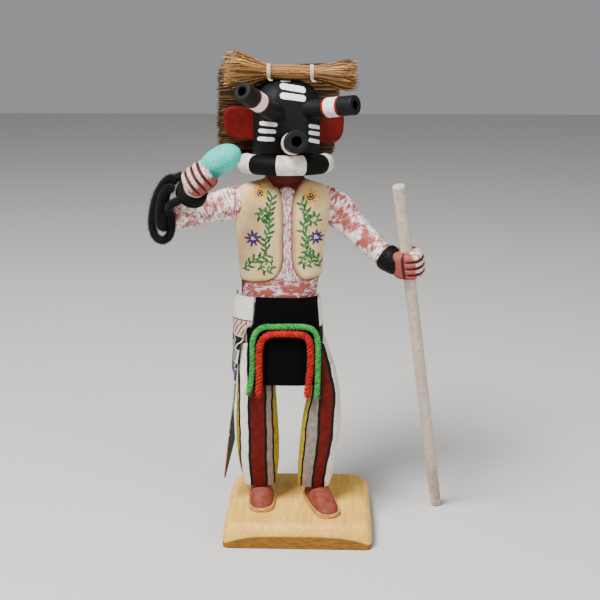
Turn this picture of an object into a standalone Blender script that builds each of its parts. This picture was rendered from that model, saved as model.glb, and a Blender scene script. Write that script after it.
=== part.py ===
"""Carved and painted cottonwood figure of a masked dancer on a wooden base.

Metres, Z up, the figure faces -Y. The underside of the base lies in the plane Z = 0.
The carved figure is a free form: its outlines are listed in shares of its own height
(one share is FIGURE_HEIGHT / SHARES). Turned parts, bores, the staff, the base and
the gaps have sizes of their own.
"""
import math

import bpy
import numpy as np

# Wooden base
BASE_WIDTH = 0.0825
BASE_DEPTH = 0.067
BASE_THICKNESS = 0.014
BASE_CORNER_RADIUS = 0.0035
BASE_TOP_ROUND = 0.0062
BASE_TOP_INSET = 0.0048
BASE_FOOT_EDGE = 0.0004
BASE_BACK_DEEPER = 0.0050
BASE_BACK_RADIUS = 0.0090
BASE_CORNER_FALL = 0.0058

# Carved figure
FIGURE_HEIGHT = 0.2374
SHARES = 237.4
VEST_RELIEF = 0.0008
SOLE_THICKNESS = 0.0021
SOLE_WELT = 0.0008

# Mask and what is set in it
MASK_RADIUS = 0.0179
MASK_HEIGHT = 0.0391
MASK_DOME = 0.0130
MASK_FACET_DEPTH = 0.0020
MASK_YAW = math.radians(12.0)
HEAD_TILT = math.radians(3.0)
HEAD_ACROSS = -7.0
HEAD_BEHIND = 2.5
MASK_RIM = 0.0008
MASK_SEAT_DEPTH = 0.0040
RUFF_RADIUS = 0.0208
RUFF_THICKNESS = 0.0103
EYE_TUBE_DIAMETER = 0.0100
EYE_TUBE_BORE = 0.0046
EYE_BORE_DEPTH = 0.0090
EYE_TUBE_REACH = 0.0285
SNOUT_DIAMETER = 0.0122
SNOUT_BORE = 0.0052
SNOUT_BORE_DEPTH = 0.0080
SNOUT_REACH = 0.0200
TUBE_SET_IN = 0.0060
TUBE_TIP_EDGE = 0.0006
BORE_EDGE = 0.0004
BORE_FLARE = 0.0003
EAR_THICKNESS = 0.0048
EAR_HEIGHT = 0.0176
EAR_REACH = 0.0149
EAR_LOW = 0.0073
LEFT_EAR_DROP = 0.0020
LEFT_EAR_SHORTER = 0.0017
EAR_SET_IN = 0.0040
EAR_EDGE = 0.0012
EAR_FORWARD = 0.0005

# Staff, rattle and what is worn
STAFF_DIAMETER = 0.00635
STAFF_LENGTH = 0.2092
STAFF_BORE_CLEARANCE = 0.0003
STAFF_EDGE = 0.0003
RATTLE_LENGTH = 0.0228
RATTLE_DIAMETER = 0.0134
RATTLE_NECK_LENGTH = 0.0110
RATTLE_NECK_DIAMETER = 0.0086
CUFF_THICKNESS = 0.0011
CUFF_LENGTH = 0.0094
CUFF_FROM_HAND = 0.0042
WRIST_WRAP_THICKNESS = 0.0022
WRIST_WRAP_LENGTH = 0.0066
WRIST_WRAP_FROM_HAND = 0.0046
FELT_THICKNESS = 0.0011
GREEN_YARN = 0.0032
RED_YARN = 0.0038
SKEIN_YARN = 0.0040
SASH_THICKNESS = 0.0010
TIE_WIDTH = 0.0022
TIE_THICKNESS = 0.0006

# Room left where one piece is glued or laid against another
GAP = 0.0003

for old in list(bpy.data.objects):
    bpy.data.objects.remove(old, do_unlink=True)

UNIT = FIGURE_HEIGHT / SHARES
STAND = BASE_THICKNESS + GAP


def paint(name, colour, roughness):
    material = bpy.data.materials.new(name)
    material.use_nodes = True
    shader = material.node_tree.nodes["Principled BSDF"]
    shader.inputs["Base Color"].default_value = (*colour, 1.0)
    shader.inputs["Roughness"].default_value = roughness
    return material


def skin(name, rings, material=None, helper=False):
    """One closed body through rings of points, with a flat face on each end."""
    rings = np.asarray(rings, float)
    count, around = rings.shape[:2]
    points = [tuple(p) for p in rings.reshape(-1, 3)]
    faces = []
    for i in range(count - 1):
        for j in range(around):
            k = (j + 1) % around
            faces.append((i * around + j, i * around + k,
                          (i + 1) * around + k, (i + 1) * around + j))
    faces.append(tuple(reversed(range(around))))
    faces.append(tuple(range((count - 1) * around, count * around)))
    mesh = bpy.data.meshes.new(name)
    mesh.from_pydata(points, [], faces)
    volume = 0.0
    for face in mesh.polygons:
        volume += face.center.dot(face.normal) * face.area
    if volume < 0.0:
        mesh.flip_normals()
    thing = bpy.data.objects.new(name, mesh)
    bpy.context.scene.collection.objects.link(thing)
    if material is not None:
        thing.data.materials.append(material)
    if helper:
        thing.hide_render = True
        thing.display_type = "WIRE"
    return thing


def combine(target, tool, operation):
    change = target.modifiers.new(operation.lower() + "_" + tool.name, "BOOLEAN")
    change.operation = operation
    change.solver = "EXACT"
    change.object = tool


def superellipse(centre_x, centre_y, half_x, half_y, power, around, yaw=0.0):
    turn = np.linspace(0.0, 2.0 * math.pi, around, endpoint=False)
    x = half_x * np.sign(np.cos(turn)) * np.abs(np.cos(turn)) ** (2.0 / power)
    y = half_y * np.sign(np.sin(turn)) * np.abs(np.sin(turn)) ** (2.0 / power)
    return np.stack([centre_x + x * math.cos(yaw) - y * math.sin(yaw),
                     centre_y + x * math.sin(yaw) + y * math.cos(yaw)], axis=1)


def levels(table, around, power, yaw=0.0, grow=0.0):
    """Rings at heights: each row is height, left, right, front, back in shares."""
    rings = []
    for z, left, right, front, back in table:
        flat = superellipse((left + right) / 2 * UNIT, (front + back) / 2 * UNIT,
                            (right - left) / 2 * UNIT + grow,
                            (back - front) / 2 * UNIT + grow, power, around, yaw)
        height = np.full((around, 1), STAND + z * UNIT)
        rings.append(np.hstack([flat, height]))
    return rings


def unit(vector):
    vector = np.asarray(vector, float)
    return vector / np.linalg.norm(vector)


def share_point(x, y, z):
    return np.array([x * UNIT, y * UNIT, STAND + z * UNIT])


def cross_axes(axis, side):
    """Two directions across an axis, the first one as near as may be to side."""
    first = np.asarray(side, float) - np.dot(side, axis) * np.asarray(axis)
    first = unit(first)
    return first, np.cross(axis, first)


def turned(name, start, axis, profile, around, material=None, helper=False, side=(0, 0, 1)):
    """A form turned about an axis: the profile lists distance along it and radius."""
    axis = unit(axis)
    first, second = cross_axes(axis, side)
    turn = np.linspace(0.0, 2.0 * math.pi, around, endpoint=False)
    rings = []
    for along, radius in profile:
        rings.append(start + axis * along + radius * (
            np.outer(np.cos(turn), first) + np.outer(np.sin(turn), second)))
    return skin(name, rings, material, helper)


def limb(name, path, radii, around, material=None, helper=False, grow=0.0, side=(0, 0, 1)):
    """Rings along a bent path, each radius being a pair: along side and across it."""
    path = np.asarray(path, float)
    lean = np.gradient(path, axis=0)
    turn = np.linspace(0.0, 2.0 * math.pi, around, endpoint=False)
    rings = []
    for point, direction, (tall, wide) in zip(path, lean, radii):
        first, second = cross_axes(unit(direction), side)
        rings.append(point + np.outer(np.cos(turn) * (tall + grow), first)
                     + np.outer(np.sin(turn) * (wide + grow), second))
    return skin(name, rings, material, helper)


def smooth(points, per_span):
    """A smooth curve through the points, with per_span steps between two of them."""
    points = np.asarray(points, float)
    padded = np.vstack([2 * points[0] - points[1], points, 2 * points[-1] - points[-2]])
    result = []
    for i in range(len(points) - 1):
        a, b, c, d = padded[i:i + 4]
        for t in np.linspace(0.0, 1.0, per_span, endpoint=False):
            result.append(0.5 * (2 * b + (c - a) * t + (2 * a - 5 * b + 4 * c - d) * t ** 2
                                 + (3 * b - a - 3 * c + d) * t ** 3))
    result.append(points[-1])
    return np.array(result)


def yarn(name, points, diameter, material, resolution=2):
    curve = bpy.data.curves.new(name, "CURVE")
    curve.dimensions = "3D"
    curve.bevel_depth = diameter / 2
    curve.bevel_resolution = resolution
    curve.use_fill_caps = True
    spline = curve.splines.new("POLY")
    spline.points.add(len(points) - 1)
    for spot, point in zip(spline.points, points):
        spot.co = (*point, 1.0)
    thing = bpy.data.objects.new(name, curve)
    bpy.context.scene.collection.objects.link(thing)
    curve.materials.append(material)
    return thing


# Paints and stuffs
WOOD = paint("base_wood", (0.62, 0.43, 0.20), 0.45)
SKIN_PAINT = paint("body_paint", (0.42, 0.13, 0.09), 0.7)
MASK_PAINT = paint("mask_paint", (0.02, 0.02, 0.02), 0.6)
TUBE_PAINT = paint("tube_paint", (0.02, 0.02, 0.02), 0.6)
RUFF_PAINT = paint("ruff_paint", (0.70, 0.66, 0.62), 0.6)
EAR_PAINT = paint("ear_paint", (0.38, 0.03, 0.02), 0.6)
STRAW = paint("straw", (0.45, 0.25, 0.10), 0.7)
STRING = paint("string", (0.75, 0.68, 0.55), 0.8)
STAFF_PAINT = paint("staff_paint", (0.70, 0.62, 0.55), 0.6)
RATTLE_PAINT = paint("rattle_paint", (0.12, 0.62, 0.55), 0.5)
LEATHER = paint("black_leather", (0.02, 0.02, 0.02), 0.4)
BLACK_YARN = paint("black_yarn", (0.01, 0.01, 0.01), 0.9)
FELT = paint("black_felt", (0.01, 0.01, 0.01), 0.95)
GREEN = paint("green_yarn", (0.10, 0.45, 0.12), 0.85)
RED = paint("red_yarn", (0.60, 0.05, 0.02), 0.85)
SASH_PAINT = paint("sash_paint", (0.60, 0.58, 0.54), 0.6)

# Base: a block with a top edge carved round. It reaches further behind the figure
# than in front of it, and its back corners are rounder. The carving starts lower
# towards the corners, so that each wall is highest in its middle.
BASE_EDGE_STEPS = 4


def base_ring(inset, rise):
    """One ring of the base: inset from the walls, rise from 0 (wall's top) to 1 (top)."""
    arcs = []
    for side, depth in ((1, 1), (-1, 1), (-1, -1), (1, -1)):
        radius = (BASE_BACK_RADIUS if depth > 0 else BASE_CORNER_RADIUS) + 0.4 * inset
        reach = BASE_DEPTH / 2 + (BASE_BACK_DEEPER if depth > 0 else 0.0)
        middle = np.array([side * (BASE_WIDTH / 2 - inset - radius),
                           depth * (reach - inset - radius)])
        start = math.atan2(depth, side) - math.pi / 4
        bends = start + np.linspace(0.0, math.pi / 2, BASE_EDGE_STEPS)
        arcs.append(middle + radius * np.stack([np.cos(bends), np.sin(bends)], axis=1))
    spots = []
    for arc, following in zip(arcs, arcs[1:] + arcs[:1]):
        share = np.linspace(0.0, 1.0, BASE_EDGE_STEPS + 1)[1:-1, None]
        spots += [arc, arc[-1] + (following[0] - arc[-1]) * share]
    spots = np.vstack(spots)
    across = spots[:, 0] / (BASE_WIDTH / 2 - inset)
    along = (spots[:, 1] - BASE_BACK_DEEPER / 2) / ((BASE_DEPTH + BASE_BACK_DEEPER) / 2 - inset)
    drop = BASE_TOP_ROUND + BASE_CORNER_FALL * (across * along) ** 4
    height = BASE_THICKNESS - drop * (1.0 - rise)
    return np.column_stack([spots, height])


foot_ring = base_ring(BASE_FOOT_EDGE, 1.0)
foot_ring[:, 2] = 0.0
wall_ring = base_ring(0.0, 1.0)
wall_ring[:, 2] = BASE_FOOT_EDGE
rings = [foot_ring, wall_ring]
for bend in np.linspace(0.0, math.pi / 2, 5):
    rings.append(base_ring(BASE_TOP_INSET * (1 - math.cos(bend)), math.sin(bend)))
skin("base", rings, WOOD)

# Body, carved from one piece: torso, vest, trousers and feet
BODY_YAW = math.radians(-4.0)
TORSO_SIDES = 22
LEG_SIDES = 16
TORSO = [(116.0, -30.0, 8.8, -11.6, 10.8),
         (122.0, -30.9, 9.6, -12.8, 11.4),
         (129.0, -31.0, 10.4, -13.0, 11.6),
         (137.0, -31.2, 12.0, -13.2, 11.8),
         (147.0, -31.9, 12.6, -13.4, 12.0),
         (157.0, -33.1, 14.0, -13.3, 12.2),
         (167.0, -33.8, 16.3, -12.8, 12.0),
         (174.0, -33.2, 17.0, -11.8, 11.6),
         (179.0, -31.8, 15.8, -10.4, 10.8),
         (181.8, -29.8, 14.0, -8.8, 9.8),
         (183.2, -26.0, 10.4, -7.7, 9.4),
         (184.4, -18.4, 3.4, -7.6, 10.2),
         (188.5, -17.4, 2.8, -7.6, 11.8)]
NECK_TOP = 197.9
TORSO.append((NECK_TOP + 2.0, -16.9, 2.5, -7.2, 12.2))
HIPS = [(91.0, -32.6, 15.0, -12.8, 13.0),
        (101.0, -34.0, 13.8, -13.6, 13.6),
        (111.0, -34.2, 13.2, -13.5, 13.2),
        (119.0, -33.6, 12.4, -13.4, 12.6),
        (121.6, -32.6, 11.4, -13.0, 12.0)]
LEG_RIGHT = [(10.8, -31.6, -13.4, -6.6, 9.1),
             (15.0, -32.4, -12.5, -7.8, 10.4),
             (24.0, -34.2, -11.5, -9.8, 12.0),
             (36.0, -35.3, -11.3, -11.6, 13.2),
             (50.0, -35.3, -12.0, -12.6, 13.4),
             (66.0, -34.5, -13.0, -13.0, 13.2),
             (80.0, -33.8, -12.8, -12.9, 13.0),
             (97.0, -33.4, -8.0, -12.6, 12.6)]
LEG_LEFT = [(10.6, -0.4, 17.6, -7.8, 7.4),
            (15.0, -0.6, 18.8, -9.4, 9.0),
            (24.0, -0.5, 20.4, -11.2, 11.0),
            (36.0, 0.4, 22.2, -12.4, 12.6),
            (50.0, 2.0, 23.9, -13.0, 13.2),
            (66.0, 5.2, 23.0, -13.2, 13.2),
            (80.0, 5.6, 20.4, -12.9, 13.0),
            (97.0, -3.0, 14.6, -12.4, 12.4)]
body = skin("body", levels(TORSO, TORSO_SIDES, 2.5, BODY_YAW), SKIN_PAINT)
hips = skin("hips_form", levels(HIPS, TORSO_SIDES, 2.6, BODY_YAW), helper=True)
leg_right = skin("leg_right_form", levels(LEG_RIGHT, LEG_SIDES, 2.7), helper=True)
leg_left = skin("leg_left_form", levels(LEG_LEFT, LEG_SIDES, 2.7), helper=True)

# The vest stands a little proud of the chest, open at the front and round the neck
VEST_BOTTOM = 132.4
vest_rows = []
for z in (VEST_BOTTOM, 137.0, 147.0, 157.0, 167.0, 174.0, 179.0, 181.8, 183.2):
    row = [z]
    for column in range(1, 5):
        row.append(np.interp(z, [r[0] for r in TORSO], [r[column] for r in TORSO]))
    vest_rows.append(row)
vest = skin("vest_form", levels(vest_rows, TORSO_SIDES, 2.5, BODY_YAW, VEST_RELIEF), helper=True)
OPENING_CENTRE = -5.5
OPENING = [(VEST_BOTTOM - 3, 13.0), (VEST_BOTTOM + 0.3, 11.6), (VEST_BOTTOM + 1.6, 7.4),
           (VEST_BOTTOM + 3.6, 5.2), (VEST_BOTTOM + 7.5, 3.6), (VEST_BOTTOM + 12, 2.7),
           (170.0, 2.6), (176.5, 3.2), (181.5, 5.0), (186.0, 8.4)]
opening_rings = []
for y in (-20.0, -3.0):
    ring = [share_point(OPENING_CENTRE + half, y, z) for z, half in OPENING]
    ring += [share_point(OPENING_CENTRE - half, y, z) for z, half in reversed(OPENING)]
    opening_rings.append(ring)
opening = skin("vest_opening", opening_rings, helper=True)
combine(vest, opening, "DIFFERENCE")


def foot(name, heel, toe, width, rise):
    """A moccasin: a flat sole with a welt, and an upper that rises to the ankle."""
    heel = np.array(heel, float)
    toe = np.array(toe, float)
    along = toe - heel
    length = np.linalg.norm(along)
    along = along / length
    across = np.array([-along[1], along[0]])
    shape = [(0.0, 0.55), (0.05, 0.78), (0.16, 0.94), (0.36, 1.0), (0.60, 1.0),
             (0.78, 0.96), (0.90, 0.80), (0.97, 0.52), (1.0, 0.26)]
    tall = [(0.0, rise), (0.30, rise), (0.46, rise * 0.98), (0.60, rise * 0.84),
            (0.76, rise * 0.62), (0.90, rise * 0.45), (0.97, rise * 0.33), (1.0, rise * 0.24)]
    parts = []
    for kind in ("sole", "upper"):
        welt = SOLE_WELT / UNIT if kind == "sole" else 0.0
        rings = []
        for share, half in shape:
            height = np.interp(share, [r[0] for r in tall], [r[1] for r in tall])
            top = SOLE_THICKNESS / UNIT if kind == "sole" else height
            centre = heel + along * (length + 2 * welt) * share - along * welt
            turn = np.linspace(0.0, math.pi, 9)
            ring = []
            for bend in turn:
                side = (half * width / 2 + welt) * math.cos(bend)
                if kind == "sole":
                    side = (half * width / 2 + welt) * np.clip(1.25 * math.cos(bend), -1, 1)
                    up = 0.02 + (top - 0.02) * min(1.0, 2.2 * math.sin(bend))
                else:
                    up = 0.3 + (top - 0.3) * math.sin(bend) ** 0.7
                ring.append(share_point(*(centre + across * side), up))
            rings.append(ring)
        parts.append(skin(name + "_" + kind, rings, helper=True))
    return parts


feet = foot("foot_right", (-22.0, 9.0), (-20.6, -17.2), 13.4, 11.4)
feet += foot("foot_left", (7.6, 9.5), (18.6, -23.4), 13.6, 11.8)
for form in [hips, leg_right, leg_left, vest] + feet:
    combine(body, form, "UNION")

torso_room = skin("torso_room", levels(TORSO, TORSO_SIDES, 2.5, BODY_YAW, VEST_RELIEF + GAP), helper=True)

# Head: a mask with a domed top and a flat facet in front, leaning back a little
lean = np.array([0.0, math.sin(HEAD_TILT), math.cos(HEAD_TILT)])
HEAD_FOOT = share_point(HEAD_ACROSS, HEAD_BEHIND, NECK_TOP) + lean * GAP
face_way = np.array([math.sin(MASK_YAW), -math.cos(MASK_YAW), 0.0])
face_way = unit(face_way - np.dot(face_way, lean) * lean)
side_way = np.cross(lean, face_way)


head_seat = turned("head_seat", HEAD_FOOT - lean * GAP, lean,
                   [(0.0, MASK_RADIUS - 0.001), (0.010, MASK_RADIUS - 0.001)], 20, helper=True)
combine(body, head_seat, "DIFFERENCE")


def head_point(right, front, up):
    """A place in the head's own frame, right being to its own left hand."""
    return HEAD_FOOT + side_way * right + face_way * front + lean * up


def mask_rings(grow):
    turn = np.linspace(0.0, 2.0 * math.pi, 26, endpoint=False)
    radius = MASK_RADIUS + grow
    facet = MASK_RADIUS - MASK_FACET_DEPTH + grow
    away = np.minimum(radius, facet / np.maximum(np.cos(turn), 0.05))
    wall = MASK_HEIGHT - MASK_DOME
    start = -MASK_SEAT_DEPTH if grow > 0.0 else 0.0
    steps = [(start, 0.975), (MASK_RIM, 1.0), (wall, 1.0)]
    for bend in (0.30, 0.58, 0.86, 1.14, 1.40):
        steps.append((wall + (MASK_DOME + grow) * math.sin(bend) ** 0.95,
                      math.cos(bend) ** 0.90))
    rings = []
    for up, scale in steps:
        ring = [head_point(r * scale * math.sin(t), r * scale * math.cos(t), up)
                for r, t in zip(away, turn)]
        rings.append(ring)
    return rings


skin("head", mask_rings(0.0), MASK_PAINT)
mask_room = skin("mask_room", mask_rings(GAP), helper=True)


def ring_form(name, middle, axis, radius, thick, around, sides, material=None, helper=False):
    """A closed ring with a round section, made as a lathe profile without ends."""
    axis = unit(axis)
    first, second = cross_axes(axis, (1, 0, 0))
    points = []
    for turn in np.linspace(0.0, 2.0 * math.pi, around, endpoint=False):
        out = first * math.cos(turn) + second * math.sin(turn)
        for bend in np.linspace(0.0, 2.0 * math.pi, sides, endpoint=False):
            points.append(tuple(middle + out * (radius + thick / 2 * math.cos(bend))
                                + axis * thick / 2 * math.sin(bend)))
    faces = []
    for i in range(around):
        for j in range(sides):
            a = (i + 1) % around
            b = (j + 1) % sides
            faces.append((i * sides + j, a * sides + j, a * sides + b, i * sides + b))
    mesh = bpy.data.meshes.new(name)
    mesh.from_pydata(points, [], faces)
    thing = bpy.data.objects.new(name, mesh)
    bpy.context.scene.collection.objects.link(thing)
    if material is not None:
        thing.data.materials.append(material)
    if helper:
        thing.hide_render = True
        thing.display_type = "WIRE"
    return thing


# Ruff: a striped ring glued under the mask, round the neck
reach = RUFF_RADIUS - MASK_RADIUS
drop = math.sqrt((RUFF_THICKNESS / 2 + GAP) ** 2 - reach ** 2)
ruff_middle = HEAD_FOOT - lean * drop
ruff = ring_form("ruff", ruff_middle, lean, RUFF_RADIUS, RUFF_THICKNESS, 26, 8, RUFF_PAINT)


def tube(name, root, tip, diameter, bore, bore_depth, material):
    """A turned tube with a blind bore in its outer end, its root cut to the mask."""
    axis = unit(tip - root)
    length = np.linalg.norm(tip - root)
    radius = diameter / 2
    hole = bore / 2
    profile = [(-TUBE_SET_IN, radius), (length - TUBE_TIP_EDGE, radius),
               (length, radius - TUBE_TIP_EDGE), (length, hole + BORE_FLARE),
               (length - BORE_EDGE, hole), (length - bore_depth, hole)]
    body_of_tube = turned(name, root, axis, profile, 16, material)
    combine(body_of_tube, mask_room, "DIFFERENCE")
    return turned(name + "_room", root, axis, [(-TUBE_SET_IN, radius + GAP),
                                               (length, radius + GAP)], 16, helper=True)


RIGHT_EYE_ROOT = share_point(-12.6, -13.2, 221.6)
RIGHT_EYE_WAY = unit((-13.6, -21.5, 11.0))
LEFT_EYE_ROOT = share_point(6.1, -7.4, 222.2)
LEFT_EYE_WAY = unit((22.8, -16.2, 3.4))
SNOUT_ROOT = share_point(-3.8, -13.4, 204.9)
SNOUT_WAY = unit((4.1, -19.6, 3.6))
tube("eye_tube_right", RIGHT_EYE_ROOT, RIGHT_EYE_ROOT + RIGHT_EYE_WAY * EYE_TUBE_REACH,
     EYE_TUBE_DIAMETER, EYE_TUBE_BORE, EYE_BORE_DEPTH, TUBE_PAINT)
tube("eye_tube_left", LEFT_EYE_ROOT, LEFT_EYE_ROOT + LEFT_EYE_WAY * EYE_TUBE_REACH,
     EYE_TUBE_DIAMETER, EYE_TUBE_BORE, EYE_BORE_DEPTH, TUBE_PAINT)
snout_room = tube("snout_tube", SNOUT_ROOT, SNOUT_ROOT + SNOUT_WAY * SNOUT_REACH,
                  SNOUT_DIAMETER, SNOUT_BORE, SNOUT_BORE_DEPTH, TUBE_PAINT)
combine(ruff, snout_room, "DIFFERENCE")


def ear(name, hand):
    """A D-shaped plate beside the mask: hand is -1 for its right ear, 1 for its left."""
    inner = MASK_RADIUS - EAR_SET_IN
    outer = MASK_RADIUS + EAR_REACH - (LEFT_EAR_SHORTER if hand > 0 else 0.0)
    low = EAR_LOW - (LEFT_EAR_DROP if hand > 0 else 0.0)
    shape = [(0.0, 0.0), (0.40, 0.0), (0.68, 0.035), (0.87, 0.13), (0.97, 0.32), (1.0, 0.56),
             (1.0, 0.78), (0.94, 0.93), (0.80, 1.0), (0.40, 1.0), (0.0, 0.97)]
    parts = []
    for grow in (0.0, GAP):
        rings = []
        for depth, shrink in ((-0.5, EAR_EDGE), (-0.32, 0.0), (0.32, 0.0), (0.5, EAR_EDGE)):
            ring = []
            for across, rise in shape:
                right = inner + (outer - inner + grow - shrink) * across
                up = low + EAR_HEIGHT / 2 + (EAR_HEIGHT / 2 + grow - shrink) * (2 * rise - 1)
                front = EAR_FORWARD + depth * (EAR_THICKNESS + 2 * grow)
                ring.append(head_point(hand * right, front, up))
            rings.append(ring)
        if grow == 0.0:
            parts.append(skin(name, rings, EAR_PAINT))
        else:
            parts.append(skin(name + "_room", rings, helper=True))
    combine(parts[0], mask_room, "DIFFERENCE")
    return parts[1]


ear_rooms = [ear("ear_right", -1), ear("ear_left", 1)]

# Straw hair: a bundle tied across the crown, and a thick layer behind the head
BUNDLE_Y = -3.0
BUNDLE = [(-36.4, 242.2, 7.4), (-33.6, 242.6, 8.8), (-29.0, 242.5, 8.3), (-21.5, 241.6, 5.6),
          (-15.2, 241.0, 3.2), (-10.0, 241.0, 3.7), (-4.0, 240.9, 3.9), (2.0, 240.7, 3.7),
          (7.0, 240.5, 3.2), (12.0, 240.3, 4.4), (18.5, 239.8, 6.0), (24.8, 239.3, 7.4),
          (27.4, 239.2, 6.6)]


def bundle_form(name, grow, material=None, helper=False, only=None):
    turn = np.linspace(0.0, 2.0 * math.pi, 14, endpoint=False)
    rings = []
    for x, z, radius in only or BUNDLE:
        size = radius * UNIT + grow
        middle = share_point(x, BUNDLE_Y, z)
        rings.append([middle + size * np.array([0.0, math.cos(t), math.sin(t)]) for t in turn])
    rings[0] = [point - (grow, 0.0, 0.0) for point in rings[0]]
    rings[-1] = [point + (grow, 0.0, 0.0) for point in rings[-1]]
    return skin(name, rings, material, helper)


hair_bundle = bundle_form("hair_bundle", 0.0, STRAW)
combine(hair_bundle, mask_room, "DIFFERENCE")
bundle_room = bundle_form("bundle_room", GAP, helper=True)


def tie(name, x):
    """A ring of string round the waist of the bundle."""
    row = [np.interp(x, [r[0] for r in BUNDLE], [r[i] for r in BUNDLE]) for i in (1, 2)]
    span = TIE_WIDTH / 2 / UNIT
    outer = []
    for side in (-1.0, -0.6, 0.6, 1.0):
        bulge = TIE_THICKNESS if abs(side) < 0.8 else TIE_THICKNESS * 0.55
        outer.append((x + side * span, row[0], row[1] + (GAP + bulge) / UNIT))
    string = bundle_form(name, 0.0, STRING, only=outer)
    combine(string, bundle_room, "DIFFERENCE")
    combine(string, mask_room, "DIFFERENCE")
    room = [(x - span * 1.2, row[0], outer[1][2]), (x + span * 1.2, row[0], outer[1][2])]
    return bundle_form(name + "_room", GAP, helper=True, only=room)


tie_rooms = [tie("hair_tie_right", -15.2), tie("hair_tie_left", 7.0)]

HAIR_BACK = [(196.8, -32.6, 25.2, 1.0), (199.0, -33.6, 26.2, 0.96), (212.0, -33.8, 27.2, 1.0),
             (226.0, -33.5, 28.6, 1.0), (236.0, -33.2, 29.2, 0.96), (241.4, -32.8, 28.0, 0.80),
             (244.4, -31.4, 25.0, 0.55)]
HAIR_FRONT = 4.4
HAIR_DEPTH = 20.5
hair_rings = []
for z, left, right, deep in HAIR_BACK:
    middle = (left + right) / 2
    half = (right - left) / 2
    plan = [(right, HAIR_FRONT)]
    for bend in np.linspace(0.0, math.pi, 11):
        out = abs(math.cos(bend)) ** 0.7 * (1 if math.cos(bend) > 0 else -1)
        plan.append((middle + half * out, HAIR_FRONT + 3.0 + (HAIR_DEPTH - 3.0) * deep
                     * math.sin(bend) ** 0.75))
    plan.append((left, HAIR_FRONT))
    ring = []
    for across, behind in plan:
        x = HEAD_ACROSS + across * math.cos(MASK_YAW) - behind * math.sin(MASK_YAW)
        y = HEAD_BEHIND + across * math.sin(MASK_YAW) + behind * math.cos(MASK_YAW)
        ring.append(share_point(x, y, z))
    hair_rings.append(ring)
hair_back = skin("hair_back", hair_rings, STRAW)
for room in [mask_room, bundle_room] + ear_rooms + tie_rooms:
    combine(hair_back, room, "DIFFERENCE")
neck_room = ring_form("ruff_room", ruff_middle, lean, RUFF_RADIUS,
                      RUFF_THICKNESS + 2 * GAP, 26, 8, helper=True)
combine(hair_back, neck_room, "DIFFERENCE")


def fist(name, middle, grip, knuckle, half_grip, half_knuckle, half_palm, hand):
    """A closed hand: four fingers in a row along the grip, cut in between them."""
    grip = unit(grip)
    first, second = cross_axes(grip, knuckle)
    stations = np.array([-1.0, -0.86, -0.57, -0.50, -0.43, -0.07, 0.0, 0.07,
                         0.43, 0.50, 0.57, 0.86, 1.0])
    turn = np.linspace(0.0, 2.0 * math.pi, 12, endpoint=False)
    rings = []
    for share in stations:
        fade = (1 - min(1.0, abs(share)) ** 4) ** 0.5 * 0.42 + 0.58
        cut = max(math.exp(-((share - spot) / 0.035) ** 2) for spot in (-0.5, 0.0, 0.5))
        notch = 1 - 0.085 * cut * np.clip(0.35 + np.cos(turn - hand * 0.5), 0, 1)
        x = np.sign(np.cos(turn)) * np.abs(np.cos(turn)) ** 0.75 * half_knuckle * fade * notch
        y = np.sign(np.sin(turn)) * np.abs(np.sin(turn)) ** 0.75 * half_palm * fade * notch
        rings.append(middle + grip * half_grip * share + np.outer(x, first)
                     + np.outer(y, second))
    return skin(name, rings, helper=True)


# Left arm: held out and down, its fist closed round the staff
SHOULDER_LEFT = share_point(12.0, 1.4, 172.5)
ARM_LEFT = smooth([SHOULDER_LEFT, share_point(19.6, 0.4, 169.6), share_point(28.4, -2.8, 161.6),
                   share_point(37.6, -9.0, 153.6), share_point(47.6, -16.0, 146.2),
                   share_point(53.0, -18.6, 144.6)], 2)
LEFT_TALL = np.interp(np.arange(11), [0, 2, 4, 6, 8, 10], [10.0, 9.2, 7.4, 6.8, 6.0, 5.6])
LEFT_WIDE = np.interp(np.arange(11), [0, 2, 4, 6, 8, 10], [7.6, 7.4, 7.0, 6.7, 6.0, 5.6])
left_radii = np.stack([LEFT_TALL, LEFT_WIDE], axis=1) * UNIT
arm_left = limb("arm_left", ARM_LEFT, left_radii, 14, SKIN_PAINT)
LEFT_HAND = share_point(57.4, -19.4, 144.5)
STAFF_WAY = unit((-0.1469, -0.2615, 0.9540))
LEFT_KNUCKLES = (1.0, -0.35, 0.0)
left_fist = fist("fist_left_form", LEFT_HAND, STAFF_WAY, LEFT_KNUCKLES,
                 7.4 * UNIT, 8.9 * UNIT, 7.6 * UNIT, -1)
combine(arm_left, left_fist, "UNION")
combine(arm_left, torso_room, "DIFFERENCE")

# Staff: a dowel through the fist, its foot just clear of what the base stands on
foot_drop = (STAFF_DIAMETER / 2) * math.sqrt(1 - STAFF_WAY[2] ** 2)
to_floor = (LEFT_HAND[2] - foot_drop - GAP) / STAFF_WAY[2]
staff_foot = LEFT_HAND - STAFF_WAY * to_floor
staff_radius = STAFF_DIAMETER / 2
turned("staff", staff_foot, STAFF_WAY,
       [(0.0, staff_radius - STAFF_EDGE), (STAFF_EDGE, staff_radius),
        (STAFF_LENGTH - STAFF_EDGE, staff_radius), (STAFF_LENGTH, staff_radius - STAFF_EDGE)],
       24, STAFF_PAINT, side=(1, 0, 0))
staff_bore = turned("staff_bore", staff_foot, STAFF_WAY,
                    [(0.0, staff_radius + STAFF_BORE_CLEARANCE),
                     (STAFF_LENGTH, staff_radius + STAFF_BORE_CLEARANCE)],
                    24, helper=True, side=(1, 0, 0))
combine(arm_left, staff_bore, "DIFFERENCE")

# A band's height at its two rims, as a share of its height in the middle
CUFF_RIM = 0.75
WRAP_RIM = 0.45


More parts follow.
